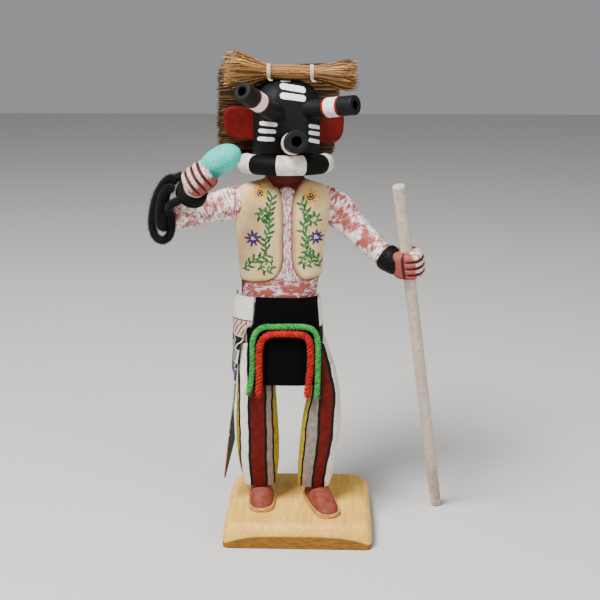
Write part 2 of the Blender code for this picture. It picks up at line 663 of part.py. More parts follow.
def sleeve(name, path, radii, at, length, thickness, rim, hand_room, material):
    """A band round a limb, its middle at a place on the path, clear of limb and hand."""
    steps = np.linalg.norm(np.diff(path, axis=0), axis=1)
    run = np.concatenate([[0.0], np.cumsum(steps)])
    spots = at + length * np.array([-0.5, -0.40, 0.40, 0.5])
    swell = np.array([rim, 1.0, 1.0, rim]) * thickness + GAP
    line = np.stack([np.interp(spots, run, path[:, i]) for i in range(3)], axis=1)
    sizes = np.stack([np.interp(spots, run, radii[:, i]) + swell for i in range(2)], axis=1)
    band = limb(name, line, sizes, 14, material)
    inner = limb(name + "_room", path, radii, 14, helper=True, grow=GAP)
    combine(band, inner, "DIFFERENCE")
    combine(band, hand_room, "DIFFERENCE")
    outer = limb(name + "_outer", line, sizes, 14, helper=True, grow=GAP)
    return outer


left_fist_room = fist("fist_left_room", LEFT_HAND, STAFF_WAY, LEFT_KNUCKLES,
                      7.4 * UNIT + GAP, 8.9 * UNIT + GAP, 7.6 * UNIT + GAP, -1)
left_run = np.linalg.norm(np.diff(ARM_LEFT, axis=0), axis=1).sum()
sleeve("bow_guard", ARM_LEFT, left_radii, left_run - CUFF_FROM_HAND, CUFF_LENGTH,
       CUFF_THICKNESS, CUFF_RIM, left_fist_room, LEATHER)

# Right arm: bent up, its fist closed round the rattle's handle
SHOULDER_RIGHT = share_point(-29.0, 1.4, 172.6)
ARM_RIGHT = smooth([SHOULDER_RIGHT, share_point(-37.0, 0.6, 171.9),
                    share_point(-50.1, -2.2, 168.9), share_point(-61.4, -5.2, 165.8),
                    share_point(-62.2, -11.4, 169.2), share_point(-56.6, -20.6, 177.0),
                    share_point(-51.6, -28.2, 184.8)], 2)
RIGHT_TALL = np.interp(np.arange(13), [0, 2, 4, 6, 8, 10, 12],
                       [10.0, 9.3, 7.0, 6.7, 6.8, 6.0, 5.4])
RIGHT_WIDE = np.interp(np.arange(13), [0, 2, 4, 6, 8, 10, 12],
                       [7.6, 7.4, 7.0, 7.2, 6.8, 6.0, 5.4])
right_radii = np.stack([RIGHT_TALL, RIGHT_WIDE], axis=1) * UNIT
arm_right = limb("arm_right", ARM_RIGHT, right_radii, 14, SKIN_PAINT, side=(0, 1, 0.9))
RIGHT_HAND = share_point(-48.4, -32.0, 189.7)
RIGHT_GRIP = unit((0.82, -0.06, 0.57))
RIGHT_KNUCKLES = (-0.50, -0.55, 0.67)
right_fist = fist("fist_right_form", RIGHT_HAND, RIGHT_GRIP, RIGHT_KNUCKLES,
                  7.6 * UNIT, 7.3 * UNIT, 7.6 * UNIT, -1)
combine(arm_right, right_fist, "UNION")
combine(arm_right, torso_room, "DIFFERENCE")
right_fist_room = fist("fist_right_room", RIGHT_HAND, RIGHT_GRIP, RIGHT_KNUCKLES,
                       7.6 * UNIT + GAP, 7.3 * UNIT + GAP, 7.6 * UNIT + GAP, -1)
right_run = np.linalg.norm(np.diff(ARM_RIGHT, axis=0), axis=1).sum()
wrap_room = sleeve("wrist_wrap", ARM_RIGHT, right_radii, right_run - WRIST_WRAP_FROM_HAND,
                   WRIST_WRAP_LENGTH, WRIST_WRAP_THICKNESS, WRAP_RIM, right_fist_room, BLACK_YARN)

# Rattle: an egg on a stout neck that runs down into the fist
RATTLE_MIDDLE = share_point(-38.0, -33.4, 199.3)
RATTLE_WAY = unit((0.885, -0.06, 0.41))
RATTLE_FULLEST = 0.60
NECK_WAY = unit((-0.62, 0.04, -0.78))
egg = []
for share in (0.0, 0.015, 0.06, 0.13, 0.23, 0.36, 0.50, 0.63, 0.75, 0.85, 0.93, 0.98, 1.0):
    away = (share - RATTLE_FULLEST) / (RATTLE_FULLEST if share < RATTLE_FULLEST
                                       else 1.0 - RATTLE_FULLEST)
    radius = RATTLE_DIAMETER / 2 * max(0.06, 1.0 - away ** 2) ** 0.52
    egg.append(((share - 0.5) * RATTLE_LENGTH, radius))
rattle = turned("rattle", RATTLE_MIDDLE, RATTLE_WAY, egg, 18, RATTLE_PAINT)
neck = turned("rattle_neck", RATTLE_MIDDLE, NECK_WAY,
              [(0.0, RATTLE_DIAMETER * 0.44), (RATTLE_NECK_LENGTH, RATTLE_NECK_DIAMETER / 2)],
              14, helper=True)
combine(rattle, neck, "UNION")
combine(rattle, right_fist_room, "DIFFERENCE")


def front_of_body(x, z):
    """How far forward the body stands at a place across and up, in shares."""
    best = 0.0
    for table, power, yaw in ((TORSO, 2.5, BODY_YAW), (HIPS, 2.6, BODY_YAW),
                              (LEG_RIGHT, 2.7, 0.0), (LEG_LEFT, 2.7, 0.0)):
        heights = [row[0] for row in table]
        if z < heights[0] or z > heights[-1]:
            continue
        left, right, front, back = [np.interp(z, heights, [row[i] for row in table])
                                    for i in range(1, 5)]
        line = superellipse((left + right) / 2, (front + back) / 2, (right - left) / 2,
                            (back - front) / 2, power, 360, yaw)
        near = line[np.abs(line[:, 0] - x) < 0.8]
        if len(near):
            best = min(best, near[:, 1].min())
    return best


# Kilt: a piece of felt over the front of the hips, hanging free below them
KILT = [(123.6, -22.3, 9.6), (115.0, -23.0, 10.4), (108.4, -23.8, 10.9), (105.4, -26.4, 11.1),
        (96.0, -27.2, 11.5), (84.0, -27.4, 11.8), (74.6, -27.4, 11.8)]
KILT_ACROSS = 13


def kilt_back(x, z):
    """The felt's inner face: it lies on the body and hangs straight from there."""
    heights = np.arange(z, KILT[0][0] + 0.5, 1.5)
    nearby = [front_of_body(x + side, h) for h in heights for side in (-1.4, 0.0, 1.4)]
    return min(nearby) - 2 * GAP / UNIT


kilt_inner = np.array([[(x, kilt_back(x, z), z)
                        for x in np.linspace(left, right, KILT_ACROSS)]
                       for z, left, right in KILT])
felt_share = FELT_THICKNESS / UNIT
kilt_rings = []
for row in kilt_inner:
    back = [share_point(*p) for p in row]
    slope = np.gradient(row[:, 1]) / np.gradient(row[:, 0])
    thick = felt_share * np.sqrt(1 + slope ** 2)
    front = [share_point(p[0], p[1] - t, p[2]) for p, t in zip(row, thick)]
    kilt_rings.append(back + front[::-1])
skin("kilt", kilt_rings, FELT)


def kilt_front(x, z):
    heights = [row[0] for row in KILT][::-1]
    column = []
    for (height, left, right), row in zip(KILT, kilt_inner):
        column.append(np.interp(x, row[:, 0], row[:, 1]))
    slope = abs(kilt_back(x + 1.5, z) - kilt_back(x - 1.5, z)) / 3.0
    return np.interp(z, heights, column[::-1]) - felt_share * math.sqrt(1 + slope ** 2)


def laid_yarn(name, plan, diameter, material):
    """Yarn glued on the felt along a plan of places across and up, in shares."""
    points = []
    for x, z in plan:
        inside = min(max(x, -25.0), 10.4)
        away = diameter / 2 / UNIT + 1.6 * GAP / UNIT
        front = min(kilt_front(inside + side, z) for side in (-1.2, 0.0, 1.2))
        points.append(share_point(x, front - away, z))
    return yarn(name, points, diameter, material)


laid_yarn("yarn_green", [(-26.4, 70.6), (-25.6, 76.0), (-25.2, 84.0), (-25.0, 93.0),
                         (-24.5, 100.0), (-22.4, 104.9), (-18.4, 107.9), (-12.0, 108.4),
                         (-4.0, 108.6), (3.0, 108.4), (7.8, 106.6), (10.3, 102.0),
                         (10.9, 94.0), (10.8, 83.0), (10.5, 69.8)], GREEN_YARN, GREEN)
laid_yarn("yarn_red", [(-21.3, 70.0), (-21.0, 77.0), (-20.9, 86.0), (-20.8, 94.0),
                       (-19.4, 100.4), (-15.4, 103.9), (-9.0, 104.7), (-2.0, 104.6),
                       (3.6, 103.6), (6.4, 99.6), (7.0, 92.0), (6.6, 83.0), (5.0, 70.0)],
          RED_YARN, RED)

# Sash: a stiff painted strip that hangs from the right hip and flares outward
SASH = [(123.4, -23.7, -14.0, -34.0, 4.6), (115.0, -24.3, -14.2, -35.4, 6.2),
        (108.6, -25.0, -14.4, -36.2, 7.4), (106.8, -27.6, -13.4, -36.4, 7.8),
        (102.0, -29.0, -11.0, -36.8, 9.0), (88.0, -31.8, -9.2, -37.8, 11.4),
        (76.0, -33.8, -7.8, -38.4, 13.2), (62.0, -36.0, -6.8, -38.8, 14.6),
        (48.0, -38.2, -6.2, -38.8, 15.2), (30.0, -40.4, -5.8, -38.4, 15.0)]
SASH_TIP = (15.0, -42.2, -5.6)


def clear_of_body(spot, z, room):
    """Push a place in plan straight out from the body until it stands clear of it."""
    x, y = spot
    for table, power, yaw in ((TORSO, 2.5, BODY_YAW), (HIPS, 2.6, BODY_YAW),
                              (LEG_RIGHT, 2.7, 0.0)):
        heights = [row[0] for row in table]
        if z < heights[0] or z > heights[-1]:
            continue
        left, right, front, back = [np.interp(z, heights, [row[i] for row in table])
                                    for i in range(1, 5)]
        middle = np.array([(left + right) / 2, (front + back) / 2])
        turn_back = np.array([[math.cos(yaw), math.sin(yaw)], [-math.sin(yaw), math.cos(yaw)]])
        across, along = turn_back @ (np.array([x, y]) - middle)
        half_x = (right - left) / 2 + room
        half_y = (back - front) / 2 + room
        depth = (abs(across) / half_x) ** power + (abs(along) / half_y) ** power
        if depth < 1.0:
            x, y = middle + (np.array([x, y]) - middle) * depth ** (-1.0 / power)
    return np.array([x, y])


sash_rings = []
half = SASH_THICKNESS / 2 / UNIT
sash_room = half + 4 * GAP / UNIT
for z, front_x, front_y, back_x, back_y in SASH:
    across = np.array([back_x - front_x, back_y - front_y])
    line = []
    for share in np.linspace(0.0, 1.0, 8):
        spot = np.array([front_x, front_y]) + across * share
        low = z
        if z == SASH[-1][0]:
            low = z - (z - SASH_TIP[0]) * (1 - share)
            spot = spot + (np.array(SASH_TIP[1:]) - (front_x, front_y)) * (1 - share)
        line.append((*clear_of_body(spot, min(z, HIPS[-1][0]), sash_room), low))
    line = np.array(line)
    slope = np.gradient(line[:, :2], axis=0)
    outward = np.stack([-slope[:, 1], slope[:, 0]], axis=1)
    outward = outward / np.linalg.norm(outward, axis=1)[:, None] * half
    inner = [share_point(p[0] - o[0], p[1] - o[1], p[2]) for p, o in zip(line, outward)]
    outer = [share_point(p[0] + o[0], p[1] + o[1], p[2]) for p, o in zip(line, outward)]
    sash_rings.append(inner + outer[::-1])
skin("sash", sash_rings, SASH_PAINT)

# Skein: two loops of black yarn that hang from the wrapped wrist
LOOP_OUTER = [(-60.7, -24.2, 187.5), (-64.4, -23.2, 188.8), (-68.8, -22.9, 185.2),
              (-72.2, -23.0, 178.8), (-74.3, -23.2, 171.2), (-74.9, -23.4, 164.2),
              (-73.5, -23.6, 158.8), (-69.8, -23.8, 156.4), (-66.2, -24.0, 158.8),
              (-64.6, -24.4, 164.2), (-64.6, -25.8, 169.6), (-65.0, -29.4, 173.8),
              (-63.4, -32.4, 176.6), (-60.0, -31.0, 178.3)]
LOOP_INNER = [(-61.6, -29.8, 184.0), (-64.8, -30.6, 184.8), (-67.8, -30.4, 181.0),
              (-69.6, -29.8, 174.6), (-70.2, -28.8, 168.6), (-69.8, -25.8, 164.4),
              (-68.6, -22.4, 163.0), (-67.7, -20.2, 165.4), (-67.7, -19.9, 170.0),
              (-68.4, -19.2, 175.0), (-67.8, -17.8, 180.2), (-65.2, -16.6, 185.2),
              (-61.4, -17.6, 188.6), (-57.4, -19.6, 189.2)]
for name, route in (("yarn_loop_outer", LOOP_OUTER), ("yarn_loop_inner", LOOP_INNER)):
    line = [share_point(*spot) for spot in route]
    yarn(name, line, SKEIN_YARN, BLACK_YARN)
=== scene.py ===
# %% [markdown]
# # A carved and painted dancer
#
# This lesson dresses the solids of a small wooden figure: a masked dancer carved in
# soft cottonwood, painted by hand, and finished with straw, felt, leather and yarn.
# Places on it are in millimetres: x towards its left hand, y backwards, and z upwards
# from the top of its base.

import math

import bpy
import numpy as np
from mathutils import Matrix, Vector


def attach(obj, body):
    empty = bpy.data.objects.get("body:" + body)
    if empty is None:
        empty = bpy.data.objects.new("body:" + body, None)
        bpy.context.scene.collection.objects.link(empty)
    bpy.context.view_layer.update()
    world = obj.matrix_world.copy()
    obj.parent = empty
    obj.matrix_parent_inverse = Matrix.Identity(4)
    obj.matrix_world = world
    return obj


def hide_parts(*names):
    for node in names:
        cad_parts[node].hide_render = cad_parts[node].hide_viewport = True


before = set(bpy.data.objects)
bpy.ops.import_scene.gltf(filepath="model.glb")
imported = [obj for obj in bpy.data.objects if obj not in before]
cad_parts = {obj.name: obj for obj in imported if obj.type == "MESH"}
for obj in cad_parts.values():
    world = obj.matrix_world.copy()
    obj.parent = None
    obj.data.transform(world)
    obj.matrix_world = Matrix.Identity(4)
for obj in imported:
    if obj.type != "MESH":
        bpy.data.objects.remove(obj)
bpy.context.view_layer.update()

# One millimetre, the height at which the feet stand, and the gap between two solids
UNIT = 0.001
STAND = 0.0143
GAP = 0.0003
# A mark's value where its patch of paint is far away
OUTSIDE = -9.0
dice = np.random.default_rng(7)

# %% [markdown]
# ## How the surfaces are made
#
# Every piece is a grid of points worked out from a formula, or many thin strands
# laid along lines. A grid is turned into quads, and turned right side out by the
# sign of the volume that it closes. What the brush left on it is kept as distances,
# in millimetres, from the edge of each patch of paint: positive inside the patch.


# %% Grids, strands and pieces
def metres(points):
    """Millimetres to metres, with z raised by the base and the gap over it."""
    return np.asarray(points, float) * UNIT + np.array([0.0, 0.0, STAND])


def unit(vectors):
    """Vectors of length one along the last axis."""
    vectors = np.asarray(vectors, float)
    size = np.linalg.norm(vectors, axis=-1, keepdims=True)
    return vectors / np.maximum(size, 1e-9)


def ease(value, low, high):
    """0 below low, 1 above high, and 3t^2 - 2t^3 in between."""
    t = np.clip((value - low) / (high - low), 0.0, 1.0)
    return t * t * (3.0 - 2.0 * t)


def full_turn(count):
    """Angles spaced evenly round a circle."""
    return np.linspace(0.0, 2.0 * math.pi, count, endpoint=False)


def smoothed(values, reach):
    """Each value becomes the mean of itself and its neighbours, reach to each side."""
    window = 2 * reach + 1
    return np.convolve(np.pad(values, reach, mode="edge"), np.ones(window) / window, "valid")


def look_up(table, at):
    """The table's other columns where its first is at, straight between the rows."""
    table = np.array(sorted(table), float)
    return [np.interp(at, table[:, 0], table[:, k]) for k in range(1, table.shape[1])]


def ripple(u, v, seed, size=1.0):
    """Gentle unevenness between -1 and 1: a sum of six slanting sine waves."""
    source = np.random.default_rng(seed)
    total = 0.0
    for step in range(6):
        way = source.uniform(0.0, 2.0 * math.pi)
        pace = source.uniform(0.5, 1.6) / size
        total = total + np.sin((u * math.cos(way) + v * math.sin(way)) * pace
                               + source.uniform(0.0, 6.3))
    return total / 6.0


def quads(rows, cols, loop_rows, loop_cols):
    """The four corners of each cell of a grid, as numbers of points."""
    i = np.arange(rows if loop_rows else rows - 1)
    j = np.arange(cols if loop_cols else cols - 1)
    a, b = np.meshgrid(i, j, indexing="ij")
    c = (a + 1) % rows
    d = (b + 1) % cols
    return np.stack([a * cols + b, a * cols + d, c * cols + d, c * cols + b], -1).reshape(-1, 4)


def volume_of(points, cells):
    """Sum over the cells of p0 . (p1 x p2 + p2 x p3) / 6, about their middle."""
    p = (points - points.mean(axis=0))[cells]
    spread = np.cross(p[:, 1], p[:, 2]) + np.cross(p[:, 2], p[:, 3])
    return float(np.einsum("ij,ij->", p[:, 0], spread)) / 6.0


def surface(grid, material, loop_rows=False, loop_cols=True, **marks):
    """A grid of points (rows, columns, 3) as one part of a piece."""
    rows, cols = grid.shape[:2]
    points = grid.reshape(-1, 3)
    cells = quads(rows, cols, loop_rows, loop_cols)
    if volume_of(points, cells) < 0.0:
        cells = cells[:, ::-1]
    kept = {key: np.broadcast_to(value, (rows, cols)).ravel() for key, value in marks.items()}
    return {"points": points, "cells": cells, "material": material, "marks": kept}


def facing(part, way):
    """An open part with its cells turned so that their sum looks the given way."""
    p = part["points"][part["cells"]]
    total = np.cross(p[:, 2] - p[:, 0], p[:, 3] - p[:, 1]).sum(axis=0)
    if np.dot(total, way) < 0.0:
        part["cells"] = part["cells"][:, ::-1]
    return part


def across(lean, side):
    """Two unit directions square to lean, the first as near side as may be."""
    side = np.broadcast_to(np.asarray(side, float), lean.shape)
    first = unit(side - np.sum(side * lean, axis=-1, keepdims=True) * lean)
    return first, np.cross(lean, first)


def strands(paths, radii, material, side=(0.0, 1.0, 0.2), **marks):
    """Three-sided prisms along many lines: paths (n, k, 3), radii (n, k) in metres."""
    sides = 3
    count, steps = paths.shape[:2]
    first, second = across(unit(np.gradient(paths, axis=1)), side)
    turn = full_turn(sides)
    ring = (first[:, :, None] * np.cos(turn)[:, None]
            + second[:, :, None] * np.sin(turn)[:, None])
    points = (paths[:, :, None] + radii[:, :, None, None] * ring).reshape(-1, 3)
    one = quads(steps, sides, False, True)
    cells = (one[None] + (np.arange(count) * steps * sides)[:, None, None]).reshape(-1, 4)
    kept = {}
    for key, value in marks.items():
        value = np.atleast_1d(value)
        value = value[:, None] if value.ndim == 1 else value
        value = np.broadcast_to(value, (count, steps))
        kept[key] = np.repeat(value[:, :, None], sides, axis=2).ravel()
    return {"points": points, "cells": cells, "material": material, "marks": kept}


def piece(name, parts, stands_for, body="root"):
    """Joins parts into one mesh, gives it its marks, hangs it on its body and hides the parts that
    it stands for.
    """
    points = np.vstack([part["points"] for part in parts])
    starts = np.cumsum([0] + [len(part["points"]) for part in parts])
    cells = np.vstack([part["cells"] + start for part, start in zip(parts, starts)])
    stuffs = list(dict.fromkeys(part["material"].name for part in parts))
    index = np.concatenate([np.full(len(part["cells"]), stuffs.index(part["material"].name))
                            for part in parts])
    mesh = bpy.data.meshes.new(name)
    mesh.vertices.add(len(points))
    mesh.vertices.foreach_set("co", points.astype(np.float32).ravel())
    mesh.loops.add(cells.size)
    mesh.loops.foreach_set("vertex_index", cells.astype(np.int32).ravel())
    mesh.polygons.add(len(cells))
    mesh.polygons.foreach_set("loop_start", np.arange(0, cells.size, 4, dtype=np.int32))
    for stuff in stuffs:
        mesh.materials.append(bpy.data.materials[stuff])
    mesh.polygons.foreach_set("material_index", index.astype(np.int32))
    mesh.polygons.foreach_set("use_smooth", np.ones(len(cells), dtype=bool))
    mesh.update(calc_edges=True)
    for key in sorted({key for part in parts for key in part["marks"]}):
        values = [part["marks"].get(key, np.full(len(part["points"]), OUTSIDE))
                  for part in parts]
        layer = mesh.attributes.new(key, "FLOAT", "POINT")
        layer.data.foreach_set("value", np.concatenate(values).astype(np.float32))
    thing = bpy.data.objects.new(name, mesh)
    bpy.context.scene.collection.objects.link(thing)
    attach(thing, body)
    if stands_for:
        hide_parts(*stands_for)
    print(name, "has", len(points), "points and", 2 * len(cells), "triangles")
    return thing


def curve_through(points, count):
    """count points, evenly spaced, on a smooth curve through the listed ones."""
    points = np.asarray(points, float)
    padded = np.vstack([2 * points[0] - points[1], points, 2 * points[-1] - points[-2]])
    t = np.linspace(0.0, 1.0, 24, endpoint=False)[:, None]
    pieces = []
    for a, b, c, d in zip(padded[:-3], padded[1:-2], padded[2:-1], padded[3:]):
        pieces.append(0.5 * (2 * b + (c - a) * t + (2 * a - 5 * b + 4 * c - d) * t ** 2
                             + (3 * b - a - 3 * c + d) * t ** 3))
    fine = np.vstack(pieces + [points[-1:]])
    run = np.concatenate([[0.0], np.cumsum(np.linalg.norm(np.diff(fine, axis=0), axis=1))])
    spots = np.linspace(0.0, run[-1], count)
    return np.stack([np.interp(spots, run, fine[:, k]) for k in range(3)], axis=1)


def length_of(path):
    """Sum of the distances from each point to the next."""
    return float(np.linalg.norm(np.diff(path, axis=0), axis=1).sum())


def columns_at(table, heights, soften):
    """The table's columns at each height, averaged over soften above and below it."""
    shifts = np.linspace(-soften, soften, 7)
    return np.mean([look_up(table, heights + shift) for shift in shifts], axis=0)


def plan_rows(table, heights, turn, power, yaw=0.0, soften=1.2, grow=0.0):
    """Rings at heights: x = cx + hx sign(cos) |cos|^(2/p), y alike with sin, then yawed.

    grow, one number or one for each point, stands the surface out from that."""
    left, right, front, back = columns_at(table, heights, soften)[:, :, None]
    c, s = np.cos(turn), np.sin(turn)
    x = ((right - left) / 2 + grow) * np.sign(c) * np.abs(c) ** (2.0 / power)
    y = ((back - front) / 2 + grow) * np.sign(s) * np.abs(s) ** (2.0 / power)
    grid = np.empty(x.shape + (3,))
    grid[..., 0] = (left + right) / 2 + x * math.cos(yaw) - y * math.sin(yaw)
    grid[..., 1] = (front + back) / 2 + x * math.sin(yaw) + y * math.cos(yaw)
    grid[..., 2] = np.asarray(heights)[:, None]
    return grid


def closed(grid):
    """The same grid with a row at each end drawn in to the middle of that end."""
    low = np.broadcast_to(grid[0].mean(axis=0), grid[0].shape)
    high = np.broadcast_to(grid[-1].mean(axis=0), grid[-1].shape)
    low = low + (grid[0] - low) * 1e-3
    high = high + (grid[-1] - high) * 1e-3
    return np.concatenate([low[None], grid, high[None]])


def closed_part(grid, material, **marks):
    """A grid in millimetres, shut at both ends, its marks carried on to the end rows."""
    marks = {key: np.pad(value, ((1, 1), (0, 0)), mode="edge") for key, value in marks.items()}
    return surface(closed(metres(grid)), material, **marks)


def seamed(ring):
    """A thin strip's ring of columns, shut at both ends: each column meets its partner."""
    cols = ring.shape[1]
    partner = -np.arange(cols) % cols
    ends = [(row + row[partner])[None] / 2 for row in (ring[0], ring[-1])]
    return np.concatenate([ends[0], ring, ends[1]])


def turned(start, axis, profile, around, side=(0.0, 0.0, 1.0)):
    """A lathe form: profile rows are distance along the axis and radius, in metres."""
    axis = unit(axis)
    first, second = across(axis, side)
    turn = full_turn(around)
    ring = np.cos(turn)[:, None] * first + np.sin(turn)[:, None] * second
    along, radius = np.asarray(profile, float).T
    return start + along[:, None, None] * axis + radius[:, None, None] * ring


# %% [markdown]
# ## How the finishes are made
#
# Paint is a stack: a ground colour, then each patch mixed in where its distance
# mark is positive. A little noise is added to the distance first, so that an edge
# wavers as a brush does. All patterns are scaled in real millimetres.


# %% Colours and nodes
def colour(code):
    """A hex colour as the screen shows it, turned into linear light."""
    parts = [int(code[k:k + 2], 16) / 255.0 for k in (1, 3, 5)]
    return [p / 12.92 if p <= 0.04045 else ((p + 0.055) / 1.055) ** 2.4 for p in parts] + [1.0]


def add(tree, kind, values=None, links=None, **settings):
    """Adds a node: settings are its options, values its sockets, links what feeds them."""
    made = tree.nodes.new(kind)
    for key, value in settings.items():
        setattr(made, key, value)
    for key, value in (values or {}).items():
        made.inputs[key].default_value = value
    for key, source in (links or {}).items():
        tree.links.new(source, made.inputs[key])
    return made


def start_material(name, roughness, specular, sheen=0.0):
    """A material with its shader's even settings on the sockets."""
    made = bpy.data.materials.new(name)
    made.use_nodes = True
    shader = made.node_tree.nodes["Principled BSDF"]
    shader.inputs["Roughness"].default_value = roughness
    shader.inputs["Specular IOR Level"].default_value = specular
    shader.inputs["Sheen Weight"].default_value = sheen
    shader.inputs["Sheen Roughness"].default_value = 0.5
    return made, made.node_tree, shader


def place_of(tree, stretch=(1.0, 1.0, 1.0), turn=(0.0, 0.0, 0.0)):
    """Object coordinates in millimetres, stretched and turned."""
    where = add(tree, "ShaderNodeTexCoord")
    scale = tuple(1000.0 * s for s in stretch)
    return add(tree, "ShaderNodeMapping", {"Scale": scale, "Rotation": turn},
               {"Vector": where.outputs["Object"]}).outputs["Vector"]


def noise(tree, vector, per_mm, detail=3.0, rough=0.55, warp=0.0):
    """Cloudy grey with per_mm patches to the millimetre; warp bends them."""
    return add(tree, "ShaderNodeTexNoise",
               {"Scale": per_mm, "Detail": detail, "Roughness": rough, "Distortion": warp},
               {"Vector": vector}).outputs["Fac"]


def math_node(tree, kind, first, second):
    """A sum or product of two sockets or numbers."""
    made = add(tree, "ShaderNodeMath", operation=kind)
    for spot, value in ((0, first), (1, second)):
        if isinstance(value, (int, float)):
            made.inputs[spot].default_value = value
        else:
            tree.links.new(value, made.inputs[spot])
    return made.outputs["Value"]


def between(tree, value, low, high, to_low=0.0, to_high=1.0):
    """to_low below low, to_high above high, and a smooth change in between."""
    return add(tree, "ShaderNodeMapRange",
               {"From Min": low, "From Max": high, "To Min": to_low, "To Max": to_high},
               {"Value": value}, interpolation_type="SMOOTHSTEP").outputs["Result"]


def mix(tree, share, first, second):
    """First colour where share is 0, second where it is 1; hex codes or sockets."""
    made = add(tree, "ShaderNodeMix", data_type="RGBA")
    for spot, value in (("A", first), ("B", second)):
        target = [s for s in made.inputs if s.name == spot and s.type == "RGBA"][0]
        if isinstance(value, str):
            target.default_value = colour(value)
        else:
            tree.links.new(value, target)
    fac = [s for s in made.inputs if s.name == "Factor" and s.type == "VALUE"][0]
    if isinstance(share, (int, float)):
        fac.default_value = share
    else:
        tree.links.new(share, fac)
    return [s for s in made.outputs if s.type == "RGBA"][0]


def mottled(tree, grain, first, second, low=0.3, high=0.7):
    """Two colours that a noise mixes: the first below low, the second above high."""
    return mix(tree, between(tree, grain, low, high), first, second)


def mark(tree, name):
    """What the mesh keeps under that name, such as a distance inside some paint."""
    return add(tree, "ShaderNodeAttribute", attribute_name=name).outputs["Fac"]


def bump(tree, shader, height, distance_mm, strength=1.0):
    """Tips the surface's normal as if height lifted it by up to distance_mm."""
    made = add(tree, "ShaderNodeBump", {"Strength": strength, "Distance": distance_mm * UNIT},
               {"Height": height})
    tree.links.new(made.outputs["Normal"], shader.inputs["Normal"])


def finish(tree, shader, shade, height, depth_mm):
    """Gives the shader its colour and the bumps of its surface."""
    tree.links.new(shade, shader.inputs["Base Color"])
    bump(tree, shader, height, depth_mm)


def painted(name, ground, coats, roughness=0.62, darkening=0.10, grain=0.04, edge=0.10, waver=0.22,
            specular=0.16):
    """Matte craft paint on carved wood.

    ground is a pair of hex colours that the brush leaves mixed; each coat is
    (mark, colour, second colour), put on where the mark's distance is positive."""
    made, tree, shader = start_material(name, roughness, specular)
    spot = place_of(tree)
    broad = noise(tree, spot, 0.35, 2.0)
    fine = noise(tree, spot, 2.6, 4.0, 0.65)
    shake = between(tree, noise(tree, spot, 1.1, 3.0), 0.2, 0.8, -waver, waver)
    patchy = between(tree, math_node(tree, "ADD", math_node(tree, "MULTIPLY", broad, 0.6),
                                     math_node(tree, "MULTIPLY", fine, 0.4)), 0.36, 0.64)
    shade = mix(tree, patchy, ground[0], ground[1])
    for key, first, second in coats:
        paint = mix(tree, patchy, first, second)
        reach = math_node(tree, "ADD", mark(tree, key), shake)
        shade = mix(tree, between(tree, reach, -edge, edge), shade, paint)
    dark = between(tree, noise(tree, spot, 0.9, 5.0, 0.7), 0.25, 0.60, 1.0 - darkening, 1.0)
    shade = add(tree, "ShaderNodeVectorMath", links={0: shade}, operation="SCALE")
    tree.links.new(dark, shade.inputs["Scale"])
    finish(tree, shader, shade.outputs["Vector"], noise(tree, spot, 3.2, 4.0, 0.6), grain)
    return made


# %% [markdown]
# ## Camera and skein
#
# The camera stands where the photograph was taken from: a little above the head,
# half a metre away. The skein of black wool comes next; its two loops hang
# free from the wrapped wrist.

# %% Camera
eye = bpy.data.cameras.new("photo_view")
eye.lens = 60.0
eye.sensor_width = 36.0
camera = bpy.data.objects.new("photo_view", eye)
camera.location = (0.01847, -0.52887, 0.2749)
camera.rotation_euler = (math.radians(75.0), 0.0, math.radians(1.93))
bpy.context.scene.collection.objects.link(camera)
bpy.context.scene.camera = camera


# %% Wool
def wool(name, deep, lit, sheen):
    """Spun wool: a dull surface with sheen, and painted shade in the hollows between plies."""
    made, tree, shader = start_material(name, 0.95, 0.15, sheen)
    spot = place_of(tree)
    depth = between(tree, mark(tree, "ply"), 0.0, 1.0)
    hair = noise(tree, spot, 2.2, 5.0, 0.7)
    share = math_node(tree, "MULTIPLY", depth, between(tree, hair, 0.25, 0.7, 0.55, 1.0))
    finish(tree, shader, mix(tree, share, deep, lit), hair, 0.25)
    return made


def fuzz(path, radius, count, reach, material, thick=0.035, side=(0.0, 1.0, 0.0)):
    """Loose hairs round a yarn: each starts on it, leans along it and curls away."""
    spots = dice.uniform(0, len(path) - 1.001, count)
    base = np.stack([np.interp(spots, np.arange(len(path)), path[:, k]) for k in range(3)], 1)
    lean = unit(np.gradient(path, axis=0))
    lean = unit(np.stack([np.interp(spots, np.arange(len(path)), lean[:, k])
                          for k in range(3)], 1))
    first, second = across(lean, side)
    turn = dice.uniform(0, 2 * math.pi, (count, 1))
    out = first * np.cos(turn) + second * np.sin(turn)
    swing = unit(np.cross(lean, out) * dice.normal(0, 0.8, (count, 1))
                 + lean * dice.normal(0, 0.9, (count, 1)))
    t = np.linspace(0.0, 1.0, 5)[None, :, None]
    size = (reach * dice.uniform(0.35, 1.0, (count, 1)))[:, :, None]
    line = (base[:, None] + out[:, None] * (radius * 0.86 + size * 0.62 * t)
            + swing[:, None] * size * 0.9 * t ** 1.4)
    line = line + dice.normal(0, 0.06, line.shape) * size * t
    radii = np.broadcast_to(thick * UNIT * (1.0 - 0.7 * t[..., 0]), (count, 5))
    return strands(line, radii, material, (0.3, 0.5, 0.8), ply=0.75)


